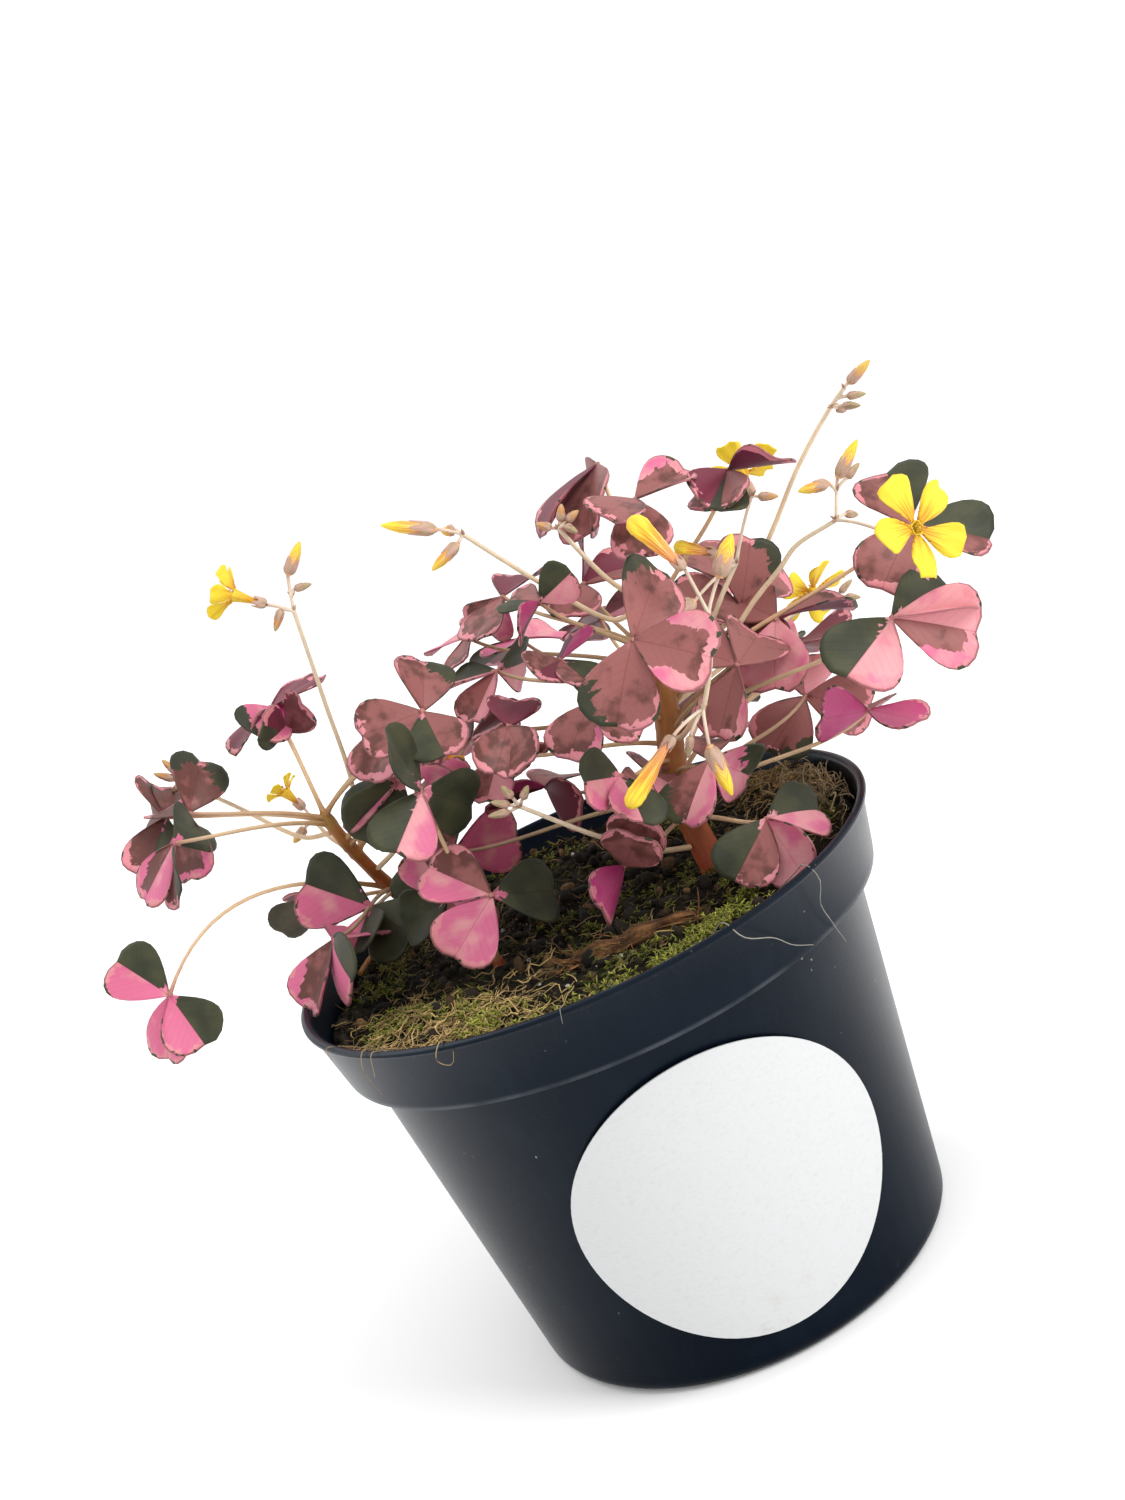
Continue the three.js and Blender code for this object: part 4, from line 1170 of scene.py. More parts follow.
@dataclass(frozen=True)
class PetalSkin:
    """Petals in the mesh's dye, with fine warm lines that fan out of the throat.

    Attributes:
        name: The material's name.
        lines: The colour of the lines.
        reach: How far out they run, as a share of the petal.
        clear: The share of light that comes through.
    """

    name: str
    lines: Rgb
    reach: float = 0.55
    clear: float = 0.3

    def material(self) -> bpy.types.Material:
        """Makes the material."""
        mix = Recipe(self.name)
        reach, across, _ = mix.split(mix.chart())
        fan = (across - 0.5) / (reach + 0.25)
        where = mix.join(fan * 34.0, reach * 1.3, mix.marks()[0] * 9.0)
        stripe = mix.step(mix.noise(where, 1.0, 2.0), 0.46, 0.58)
        fade = 1.0 - mix.step(reach, 0.1, self.reach)
        colour = mix.tint(stripe * fade, mix.dye()[0], self.lines)
        vein = mix.noise(where, 2.2, 3.0)
        colour = mix.tint(mix.step(vein, 0.4, 0.7) * 0.35, colour, (1.0, 0.88, 0.5), "MULTIPLY")
        normal = mix.relief(vein, 0.35, 0.00015)
        shader = mix.surface(colour, 0.48, Normal=normal, Specular_IOR_Level=0.3)
        return mix.close(mix.glow(self.clear, shader, colour))


UPPER_LEAF = LeafSkin(
    name="leaf_upper",
    pink=(0.85, 0.38, 0.41),
    rose=(0.79, 0.185, 0.34),
    magenta=(0.62, 0.035, 0.22),
    mauve=(0.37, 0.128, 0.118),
    brown=(0.165, 0.054, 0.044),
    wine=(0.2, 0.022, 0.05),
    dark=(0.036, 0.042, 0.021),
    olive=(0.072, 0.076, 0.031),
    edge=(0.82, 0.31, 0.35),
)
UNDER_LEAF = LeafSkin(
    name="leaf_under",
    pink=(0.7, 0.27, 0.33),
    rose=(0.6, 0.1, 0.24),
    magenta=(0.5, 0.03, 0.2),
    mauve=(0.25, 0.07, 0.085),
    brown=(0.16, 0.045, 0.045),
    wine=(0.15, 0.012, 0.05),
    dark=(0.065, 0.055, 0.032),
    olive=(0.11, 0.09, 0.05),
    edge=(0.66, 0.24, 0.3),
    sheen=0.05,
)


# ---- the pot, its label and the soil


@dataclass(frozen=True)
class NurseryPot:
    """The pot: a turned wall with a collar and a lip, and a base plate with drain holes.

    Attributes:
        wall: How thick it is.
        segments: Faces round the wall.
        foot_radius: Where the rounded corner at its foot starts.
        corner: The radius of that corner.
        plate_radius: Where the base plate meets the wall.
        hub_radius: The radius of the plate's middle, inside the ring of holes.
        holes: How many drain holes it has.
        hole_radius: Their radius.
        hole_circle: The radius of the circle that they stand on.
    """

    wall: float = 1.2
    segments: int = 160
    foot_radius: float = 41.6
    corner: float = 3.0
    plate_radius: float = 41.0
    hub_radius: float = 27.0
    holes: int = 8
    hole_radius: float = 4.0
    hole_circle: float = 34.0

    def profile(self) -> Array:
        """The closed profile of the wall, up its outside and down its inside."""
        turn = np.linspace(0, np.pi / 2, 6)[1:]
        corner = self.corner * np.stack([np.sin(turn), 1 - np.cos(turn)], -1) + [self.foot_radius, 0]
        outside = [
            (52.6, 71.6), (52.9, 72.2), (53.4, 72.35), (56.0, 72.35), (56.45, 72.5), (56.65, 72.9),
            (56.9, 74.0), (59.05, 84.9), (59.35, 85.25), (59.8, 85.4), (60.0, 85.75), (59.95, 86.2),
            (59.6, 86.45), (59.2, 86.5), (58.7, 86.45), (58.35, 86.2), (58.0, 85.5),
        ]
        inside = [
            (55.6, 74.4), (55.2, 73.8), (54.6, 73.55), (52.0, 73.3), (51.6, 72.6), (43.4, 3.2),
            (42.6, 1.7), (41.6, 1.2),
        ]
        foot = [(self.plate_radius, 0.0), (self.foot_radius, 0.0)]
        head = [(self.plate_radius, self.wall), foot[0]]
        return np.concatenate([foot, corner, outside, inside, head])

    def plate(self) -> Array:
        """One square-cornered plate round each drain hole.

        Its rim runs round a rectangle in radius and bearing, and its other edge round the
        hole, at the same angles; rows go out underneath, up, back on top and down the hole.

        Returns:
            A grid for each hole.
        """
        side = np.linspace(-1, 1, 9)[:-1]
        ones = np.ones_like(side)
        edges = ((ones, side), (-side, ones), (-ones, -side), (side, -ones), (ones[:1], side[:1]))
        square = np.concatenate([np.stack(edge, -1) for edge in edges])
        depth = (self.plate_radius - self.hub_radius) / 2
        middle = (self.plate_radius + self.hub_radius) / 2
        outer = square * np.array([depth, self.hole_circle * np.pi / self.holes])
        outer = outer + np.array([middle - self.hole_circle, 0.0])
        hole = unit(square) * self.hole_radius
        rows = np.stack([hole, outer, outer, hole, hole])
        height = np.array([0.0, 0.0, self.wall, self.wall, 0.0])[:, None]
        bearing = (np.arange(self.holes)[:, None, None] + 0.5) * 2 * np.pi / self.holes
        turn = bearing + rows[..., 1] / self.hole_circle
        return polar(self.hole_circle + rows[..., 0], turn, height)

    def build(self) -> None:
        """Makes the pot."""
        skin = Skin()
        skin.add(turned(self.profile(), self.segments))
        skin.add(self.plate())
        hub = self.hub_radius
        skin.add(turned([(0, 0), (hub, 0), (hub, self.wall), (0, self.wall)], 48))
        settle(skin.sew("pot_shell", [PotPlastic().material()], 35.0), "pot", "pot")


@dataclass(frozen=True)
class PlainLabel:
    """The blank round label, bent round the pot's conical wall.

    Attributes:
        radius: Its radius.
        height: The height of its middle.
        bearing: The bearing of its middle.
        thickness: How thick it is.
        foot_radius: The radius of the pot's wall at foot_height.
        foot_height: A height near the foot of the wall.
        slope: How much wider the wall gets with its height.
    """

    radius: float = 29.5
    height: float = 37.0
    bearing: float = -84.0
    thickness: float = 0.4
    foot_radius: float = 44.6
    foot_height: float = 3.0
    slope: float = 8.2 / 69.3

    def build(self) -> None:
        """Makes the label.

        A point at polar (reach, angle) on the sheet lies at height + reach sin angle, and at
        the bearing whose arc across the wall is reach cos angle.
        """
        fringe = self.radius - np.array([0.2, 0.05, 0.0])
        out = np.concatenate([np.linspace(0, 0.985, 12) * self.radius, fringe])
        reach = np.concatenate([out, out[::-1]])[:, None]
        side = np.repeat([self.thickness, 0.0], len(out))[:, None]
        side[len(out) - 1], side[len(out)] = 0.7 * self.thickness, 0.2 * self.thickness
        angle = around(96)
        level = self.height + reach * np.sin(angle)
        wall = self.foot_radius + self.slope * (level - self.foot_height) + GAP
        turn = np.radians(self.bearing) - np.arcsin(reach * np.cos(angle) / wall)
        skin = Skin()
        skin.add(polar(wall + side, turn, level))
        settle(skin.sew("label_sheet", [LabelPaper().material()], 35.0), "label", "label")


PEAT_CRUMB = paint(0.03, 0.021, 0.011)
DRY_CRUMB = paint(0.2, 0.11, 0.045)
PERLITE = paint(0.78, 0.77, 0.72)
MOSS_TIP = np.array([0.66, 0.66, 0.12])
MOSS_DEEP = np.array([0.08, 0.11, 0.015])
STRAW = np.array([0.6, 0.4, 0.17])
STRAW_PALER = np.array([0.25, 0.22, 0.06])
OLD_ROOT = np.array([0.6, 0.47, 0.27])
WHITE_ROOT = paint(0.34, 0.32, 0.28)
DRY_ROOT = paint(0.42, 0.3, 0.15)
DEAD_WOOD = paint(0.42, 0.19, 0.065)
DEAD_FIBRE = paint(0.4, 0.19, 0.07)

# The middle, spread, number of roots and brightness of each patch of moss.
MOSS_PATCHES = (
    ((25, -33), 4.0, 90, 1.0), ((18, -38), 3.6, 80, 1.0), ((12, -44), 3.4, 80, 0.9),
    ((0, -47), 3.0, 55, 1.0), ((-8, -50), 3.0, 45, 0.9), ((31, -24), 3.5, 60, 0.8),
    ((-24, -37), 3.2, 90, 1.2), ((-14, -45), 3.0, 50, 1.1), ((-42, -14), 4.0, 50, 0.8),
    ((6, -34), 8.0, 60, 0.45), ((-33, -18), 3.2, 50, 0.85), ((-27, -23), 2.6, 40, 0.9),
    ((-46, 12), 3.6, 45, 0.6), ((0, -6), 7.0, 60, 0.4), ((22, -8), 5.0, 40, 0.45),
    ((-38, 30), 7.0, 60, 0.5), ((30, 30), 9.0, 60, 0.5), ((48, -8), 3.0, 30, 0.7),
    ((-10, 44), 8.0, 60, 0.6),
)

# The middle, spread, number of straws, their mean length and the brightness of each heap.
STRAW_HEAPS = (
    ((-33, -28), 8.0, 330, 6.5, 0.95), ((-20, -38), 7.0, 190, 5.5, 0.9),
    ((-42, -12), 6.0, 90, 5.5, 0.75), ((51, 8), 4.5, 170, 6.5, 1.0),
    ((46, 24), 7.0, 170, 6.0, 0.7), ((40, -4), 8.0, 70, 5.0, 0.5),
    ((0, 0), 30.0, 300, 5.5, 0.4), ((-40, 25), 9.0, 60, 6.0, 0.6),
    ((10, -30), 10.0, 80, 4.5, 0.5),
)

# The radius, the colour and points along each thread or straw that hangs over the rim.
STRAYS = (
    (
        0.12, WHITE_ROOT,
        (33, -34, 80.6), (36.5, -41, 85), (38.4, -44.6, 87), (39.6, -46, 84), (38.2, -45, 79.5),
        (39, -43, 74.8), (41, -33.8, 66.4),
    ),
    (
        0.15, WHITE_ROOT,
        (17, -47, 80.6), (19.8, -51.5, 85.6), (21.2, -54.6, 87), (23, -56.2, 84), (28, -52.2, 80),
        (30.6, -50, 76.6), (34, -47.8, 74.2),
    ),
    (
        0.11, DRY_ROOT,
        (-40, -30, 81), (-43, -36, 85), (-45.4, -38.8, 87), (-46.6, -39.6, 84), (-45.6, -38.8, 78),
    ),
    (0.13, DRY_ROOT, (-38, -34, 81), (-42, -40, 86), (-43.6, -41.8, 87), (-44.8, -42.2, 83)),
    (
        0.14, DRY_ROOT,
        (-28, -42, 81), (-30, -48.5, 86), (-31, -51.4, 87.1), (-32.4, -51.8, 84.6),
        (-30.4, -51.6, 82.8), (-29, -51.2, 85.4),
    ),
    (0.11, DRY_ROOT, (-47, -22, 81), (-51, -28, 86), (-52.8, -29.4, 87), (-53, -28.6, 84.4)),
    (0.1, WHITE_ROOT, (-8, -50, 81), (-9, -57, 86), (-9.4, -59.6, 87), (-10, -60, 84.6)),
)


@dataclass(frozen=True)
class Bed:
    """The peat in the pot, and what lies and grows on it.

    Attributes:
        edge: The radius of its top.
        fall: How much lower its edge lies than its middle.
        bank: How high it is banked up against the wall at the right.
        bank_bearing: The bearing of that bank.
        bank_width: How far it spreads to both sides, in degrees.
        crumb_count: How many loose crumbs lie on it.
        sprigs: How many sprigs grow from each root of the moss.
        root_count: How many dry roots curl up against the wall.
        seed: Picks where the loose bits lie.
    """

    edge: float = 56.0
    fall: float = 0.6
    bank: float = 4.4
    bank_bearing: float = 16.0
    bank_width: float = 27.0
    crumb_count: int = 1700
    sprigs: int = 7
    root_count: int = 150
    seed: int = 11

    def level(self, x: Array, y: Array) -> Array:
        """The height of the peat: a broad swell, a fall to the edge, fine crumbs and a bank.

        The bank rises in proportion to the radius in its outer third, and falls off to both
        sides as a bell curve of the bearing.

        Args:
            x: Places across.
            y: Places deep.

        Returns:
            The heights there.
        """
        swell = np.sin(0.21 * x + 1) * np.cos(0.17 * y) + 0.6 * np.sin(0.13 * x - 0.3 * y)
        share = ramp(np.hypot(x, y) / self.edge, 0.6, 1.0)
        aside = (np.degrees(np.arctan2(y, x)) - self.bank_bearing) / self.bank_width
        bank = self.bank * np.exp(-(aside**2)) * share
        where = np.stack([x, y], -1)
        fine = 0.55 * ripple(3, where, 9.0, 2) + 0.3 * ripple(4, where, 2.6, 2)
        return SOIL_LEVEL + 0.5 * swell - self.fall * share + fine + bank

    def peat(self) -> None:
        """Makes the body of the peat, with a rough top."""
        radius = np.linspace(self.edge, 0, 62)
        top = np.stack([radius, np.full_like(radius, SOIL_LEVEL)], -1)
        body = [(0, 1.5), (41.1, 1.5), (42.6, 3.5), (51.3, 72.8), (54.6, 74.0), (55.6, 78.5)]
        grid = turned(np.concatenate([body, top]), 150)
        grid[len(body) :, :, 2] = self.level(grid[len(body) :, :, 0], grid[len(body) :, :, 1])
        skin = Skin()
        skin.add(grid)
        settle(skin.sew("peat_bed", [Peat().material()], 180.0), "soil", "soil")

    def spots(self, rng: Random, number: int, middle: Pair, spread: float) -> Array:
        """Random places on the peat.

        Args:
            rng: Picks them.
            number: How many to pick.
            middle: What they gather round.
            spread: How far they spread from it.

        Returns:
            The places, all of them inside the pot.
        """
        flat = rng.normal(0, spread, (number, 2)) + np.array(middle)
        reach = np.linalg.norm(flat, axis=1, keepdims=True)
        flat = flat * np.minimum(1, (self.edge - 2.0) / np.maximum(reach, 1e-6))
        return np.concatenate([flat, self.level(flat[:, 0], flat[:, 1])[:, None]], 1)

    def crumbs(self) -> None:
        """Makes loose crumbs of peat and bark, and white grains of perlite."""
        rng = np.random.default_rng(self.seed)
        skin = Skin()
        spots = self.spots(rng, self.crumb_count, (0, 0), 34.0)
        sizes = rng.gamma(2.2, 0.3, len(spots)).clip(0.2, 1.8)
        spots[:, 2] += 0.3 * sizes
        shade = rng.uniform(0.2, 1.0, (len(spots), 1, 1, 1))
        dry = rng.uniform(size=(len(spots), 1, 1, 1)) > 0.84
        skin.add(lumps(rng, spots, sizes), shade * np.where(dry, DRY_CRUMB, PEAT_CRUMB))
        white = np.concatenate([self.spots(rng, 26, (8, -24), 15.0), self.spots(rng, 36, (0, 0), 32.0)])
        sizes = rng.uniform(0.15, 0.5, len(white))
        white[:, 2] += 0.6 * sizes
        grey = rng.uniform(0.6, 1.0, (len(white), 1, 1, 1))
        skin.add(lumps(rng, white, sizes), grey * PERLITE)
        finish = Dyed("soil_crumbs", 0.9, 1400.0, 0.5, relief=0.0002)
        settle(skin.sew("soil_crumbs", [finish.material()], 180.0), "soil")

    def moss(self) -> None:
        """Makes cushions of moss: sprigs of thin leaves that arch out of one point."""
        rng = np.random.default_rng(self.seed + 1)
        roots, bright = [], []
        for middle, spread, number, shine in MOSS_PATCHES:
            roots.append(self.spots(rng, number, middle, spread))
            bright.append(np.full(number, shine))
        root = np.repeat(np.concatenate(roots), self.sprigs, axis=0)
        shine = np.repeat(np.concatenate(bright), self.sprigs) * rng.uniform(0.3, 1.2, len(root))
        way = heading(rng.uniform(0, 360, len(root)), rng.uniform(5, 80, len(root)))
        size = rng.uniform(0.8, 2.3, (len(root), 1))
        share = np.linspace(0, 1, 4)[:, None]
        stalk = np.zeros_like(root)
        stalk[:, 2] = rng.uniform(0.0, 1.3, len(root))
        path = (root + stalk)[:, None] + share * (way * size)[:, None]
        path[..., 2] -= 0.35 * size * share[:, 0] ** 2
        green = MOSS_TIP * shine[:, None]
        low = blend(MOSS_DEEP, green, 0.35)
        dye = opaque(blend(low[:, None], green[:, None], np.linspace(0, 1, 6)[:, None]))
        skin = Skin()
        skin.add(tubes(path, [0.1, 0.17, 0.13, 0.03], 3), dye[:, :, None])
        finish = Dyed("moss", 0.7, 900.0, 0.35, clear=0.25)
        settle(skin.sew("moss", [finish.material()], 180.0), "soil")

    def straw(self) -> None:
        """Makes dry fibres that curl over the peat.

        Each is a line as long as its size, which bends aside by bend * share^2 and sways by a
        sine of the share, and lies on the peat with its ends a little up.
        """
        rng = np.random.default_rng(self.seed + 2)
        roots, sizes, tans = [], [], []
        for middle, spread, number, size, tan in STRAW_HEAPS:
            roots.append(self.spots(rng, number, middle, spread))
            sizes.append(rng.uniform(0.35, 1.3, number) * size)
            tans.append(np.full(number, tan))
        root, size = np.concatenate(roots), np.concatenate(sizes)
        tan = np.concatenate(tans) * rng.uniform(0.25, 1.25, len(root))
        share = np.linspace(-0.5, 0.5, 9)[:, None]
        one, each = (len(root), 1), (len(root), 1, 1)
        way = heading(rng.uniform(0, 360, len(root)), 0.0)[:, None]
        aside = np.cross(way, UP)
        bend = rng.normal(0, 0.55, each)
        curl = rng.normal(0, 0.14, each) * np.sin(share * rng.uniform(4, 11, each))
        path = size[:, None, None] * (share * way + (bend * share**2 + curl) * aside)
        path += root[:, None]
        reach = np.linalg.norm(path[..., :2], axis=-1, keepdims=True)
        path[..., :2] *= np.minimum(1, (self.edge - 0.8) / reach)
        lift = rng.uniform(0.1, 2.2, one)
        lift = lift * (0.35 + np.abs(share[:, 0] * rng.choice([-1, 1], one) + 0.3))
        path[..., 2] = self.level(path[..., 0], path[..., 1]) + 0.2 + lift
        radii = rng.uniform(0.05, 0.16, one) * [0.5, 0.9, 1, 1, 1, 1, 0.9, 0.7, 0.35]
        colour = (STRAW + rng.uniform(size=one) ** 2 * STRAW_PALER) * tan[:, None]
        skin = Skin()
        skin.add(tubes(path, radii, 4), opaque(colour)[:, None, None])
        self.tangle(skin)
        self.strays(skin)
        finish = Dyed("straw", 0.8, 700.0, 0.45, streak=9.0)
        settle(skin.sew("straw", [finish.material()], 180.0), "soil")

    def tangle(self, skin: Skin) -> None:
        """Adds the dry roots that curl up against the wall at the right, under the rim.

        Each is a short line that sways to both sides along its run, more so towards its end.

        Args:
            skin: The skin that takes them.
        """
        rng = np.random.default_rng(self.seed + 3)
        count = self.root_count
        turn = np.radians(rng.normal(2, 9, count))
        root = polar(rng.uniform(46.5, 55.0, count), turn, rng.uniform(-0.5, 2.6, count))
        root[:, 2] += self.level(root[:, 0], root[:, 1])
        way = heading(rng.uniform(0, 360, count), rng.normal(25, 40, count))
        way = way * rng.uniform(2, 7, (count, 1))
        share = np.linspace(0, 1, 12)[:, None]
        sway = rng.normal(0, 1.2, (count, 1, 3)) * np.sin(share * rng.uniform(3, 10, (count, 1, 1)))
        path = root[:, None] + share * way[:, None] + sway * (0.4 + share)
        wide = np.linalg.norm(path[..., :2], axis=-1, keepdims=True)
        path[..., :2] *= np.minimum(1, (self.edge + 0.6) / wide)
        path[..., 2] = np.clip(path[..., 2], SOIL_LEVEL - 0.5, SOIL_LEVEL + 8.5)
        radii = rng.uniform(0.07, 0.24, (count, 1)) * np.linspace(1, 0.45, 12)
        colour = OLD_ROOT * rng.uniform(0.35, 1.1, (count, 1))
        skin.add(tubes(path, radii, 5), opaque(colour)[:, None, None])

    def strays(self, skin: Skin) -> None:
        """Adds the threads and straws that hang over the rim.

        Args:
            skin: The skin that takes them.
        """
        for radius, dye, *points in STRAYS:
            path = along(points, np.linspace(0, 1, 26))
            skin.add(tubes(path, radius * np.linspace(1, 0.45, 26), 5), dye)

    def build(self) -> None:
        """Makes the peat and all that lies on it."""
        self.peat()
        self.crumbs()
        self.moss()
        self.straw()


@dataclass(frozen=True)
class DeadWood:
    """The dead piece of old stem that lies on the soil.

    Attributes:
        path: Points along it.
        radii: Its radius at its ends.
        fibre_count: How many fibres fray out of it.
        seed: Picks its fibres.
    """

    path: tuple[Triple, ...] = ((-6, -25, 80.6), (2, -27, 81), (10, -26, 81.2), (20, -29, 80.8))
    radii: Pair = (2.2, 1.1)
    fibre_count: int = 70
    seed: int = 5

    def build(self) -> None:
        """Makes the wood: a shoot with ridges that wander round it, painted shade in its grooves, and
        frayed fibres.
        """
        rng = np.random.default_rng(self.seed)
        share = np.linspace(0, 1, 60)
        path = along(self.path, share)
        where = polar(3, around(28), 2.2 * share[:, None])
        knots = ripple(9, share[:, None] * 10, 3.0, 2)
        ridges = 1 + 0.2 * ripple(8, where, 2.4, 3) + 0.16 * knots[:, None]
        ends = np.clip(np.minimum(share / 0.05, (1 - share) / 0.08), 0.25, 1) ** 0.5
        radii = np.interp(share, [0, 1], self.radii)[:, None] * ends[:, None] * ridges
        # Painted shade: the colour darkens with the depth of the grooves between the ridges, down to
        # about a sixth, and is full on the ridges.
        groove_shading = 0.55 + 0.45 * (ridges - ridges.min()) / np.ptp(ridges)
        skin = Skin()
        skin.add(tubes(path, radii, 28), capped(DEAD_WOOD * groove_shading[..., None] ** 3))
        count = self.fibre_count
        place = rng.choice([0.02, 0.95, 0.4], count, p=[0.5, 0.2, 0.3])
        start = along(self.path, place + rng.normal(0, 0.05, count))
        start = start + rng.normal(0, 0.8, (count, 3)) * [1, 1, 0.6]
        way = heading(rng.normal(190, 50, count), rng.uniform(-5, 35, count))
        way = way * rng.uniform(1.5, 5, (count, 1))
        turn = rng.normal(0, 1.1, (count, 1, 3))
        step = np.linspace(0, 1, 7)[:, None]
        fibres = start[:, None] + step * way[:, None] + turn * step**2
        fibres[..., 2] = np.maximum(fibres[..., 2], SOIL_LEVEL + 0.9)
        thin = rng.uniform(0.1, 0.24, (count, 1)) * np.linspace(1, 0.3, 7)
        skin.add(tubes(fibres, thin, 4), DEAD_FIBRE)
        finish = Dyed("dead_wood", 0.9, 900.0, 0.8, streak=3.0, relief=0.0006)
        settle(skin.sew("dead_wood", [finish.material()], 60.0), "bark", "dead_stem")


# ---- the plant


TRUNK = paint(0.5, 0.17, 0.045)
TRUNK_FOOT = paint(0.42, 0.055, 0.03)
NODE_GREEN = paint(0.42, 0.3, 0.08)
PETIOLE_FOOT = paint(0.52, 0.25, 0.075)
PETIOLE = paint(0.92, 0.69, 0.43)
PETIOLE_RED = paint(0.52, 0.23, 0.13)
PETIOLE_HEAD = paint(0.55, 0.24, 0.19)
PEDUNCLE = paint(0.9, 0.77, 0.58)
PEDICEL = paint(0.92, 0.79, 0.62)
SEPAL = paint(0.68, 0.42, 0.34)
BUD_GREEN = paint(0.4, 0.38, 0.15)
CREAM = paint(0.85, 0.62, 0.32)
YELLOW = paint(0.93, 0.76, 0.06)
ORANGE = paint(0.82, 0.26, 0.03)
WITHERED = paint(0.78, 0.36, 0.03)
BLUSH = paint(0.85, 0.5, 0.38)
FILAMENT = paint(0.75, 0.72, 0.25)
ANTHER = paint(0.9, 0.5, 0.03)

SHOOT = Dyed("shoots", 0.5, 420.0, 0.22, streak=5.0, clear=0.2)
OPEN_PETAL = PetalSkin("petals", (0.62, 0.2, 0.01), 0.75)
FURLED_PETAL = PetalSkin("furled_petals", (0.75, 0.17, 0.03), 1.6, 0.15)


@dataclass(frozen=True)
class BladeForm:
    """The outline and relief of a kind of blade, as shares of its length.

    Attributes:
        spread: Half the angle at its foot, in degrees.
        fullness: The power that rounds its lobes. Smaller is fuller.
        notch: The depth of the notch at its tip.
        reach: Its length along the lobes.
        fold: How far each half folds up.
        curl: How far the tip curls. Below 0 it curls back.
        wave: The height of the waves along its edge.
        twist: How far it winds about its midrib.
        variety: How much the fold and the curl vary.
        rows: Grid rows from foot to tip.
        columns: Grid columns from edge to edge.
    """

    spread: float
    fullness: float
    notch: float
    reach: float
    fold: float
    curl: float
    wave: float
    twist: float
    variety: float
    rows: int
    columns: int


LEAFLET = BladeForm(43.0, 0.37, 0.065, 1.04, 0.19, -0.12, 0.032, 0.14, 1.2, 13, 21)
PETAL = BladeForm(32.0, 0.34, 0.04, 1.02, 0.08, -0.22, 0.07, 0.45, 1.0, 13, 17)


def blades(
    rng: Random, hubs: Array, midribs: Array, normals: Array, lengths: Array, form: BladeForm
) -> tuple[Array, Array, Array]:
    """Thin blades, each of them on a fan of rays from its hub.

    A ray at turn a of the half angle has the length reach (1 - a^4)^fullness, less the notch
    about a = 0. A point lifts by fold |width| + curl reach^2 + cup width^2 + twist width reach,
    plus waves along the edge.

    Args:
        rng: Picks the variety.
        hubs: Where each blade springs.
        midribs: The way of its midrib.
        normals: The way that its upper face looks.
        lengths: Its length.
        form: Its outline and relief.

    Returns:
        The grids, their charts as (reach, width + 0.5), and their share of the way out.
    """
    count = len(hubs)
    fan = np.linspace(0.97, -0.97, form.columns)
    turn = np.sign(fan) * (1 - (1 - np.abs(fan)) ** 2.5)
    notch = form.notch * np.exp(-((turn / 0.17) ** 2))
    ray = form.reach * (1 - turn**4) ** form.fullness * (1 - notch)
    out = np.linspace(0.03 ** (1 / 0.85), 1, form.rows)[:, None] ** 0.85
    reach = out * ray * np.cos(np.radians(form.spread * turn))
    width = out * ray * np.sin(np.radians(form.spread * turn))
    vary = rng.uniform(-1, 1, (6, count, 1, 1))
    fold = form.fold * (1 + 0.5 * form.variety * vary[0])
    curl = form.curl * (1 + 0.8 * form.variety * vary[1])
    waves = form.wave * out**3 * np.sin(7 * turn * (1 + 0.3 * vary[2]) + 6 * vary[3])
    bend = 0.35 * vary[4] * width**2 + form.twist * (0.5 + vary[5]) * width * reach
    lift = fold * (np.hypot(width, 0.03) - 0.03) + curl * reach**2 + waves + bend
    frames = np.stack([midribs, np.cross(normals, midribs), normals], 1) * lengths[:, None, None]
    points = hubs[:, None, None] + np.einsum("nrck,nkd->nrcd", stacked(reach, width, lift), frames)
    return points, np.stack([reach, width + 0.5], -1), out + 0 * ray


def thicken(piece: bpy.types.Object, thickness: float, under: int = 0) -> None:
    """Gives a sheet its thickness, and its underside the material that many places further on."""
    solid = piece.modifiers.new("thickness", "SOLIDIFY")
    solid.thickness, solid.offset, solid.material_offset = thickness * MM, 0.0, under


@dataclass
class Finishes:
    """The plant's materials, made once and shared by its pieces."""

    upper: bpy.types.Material = field(default_factory=UPPER_LEAF.material)
    under: bpy.types.Material = field(default_factory=UNDER_LEAF.material)
    shoot: bpy.types.Material = field(default_factory=SHOOT.material)
    petal: bpy.types.Material = field(default_factory=OPEN_PETAL.material)
    furled: bpy.types.Material = field(default_factory=FURLED_PETAL.material)


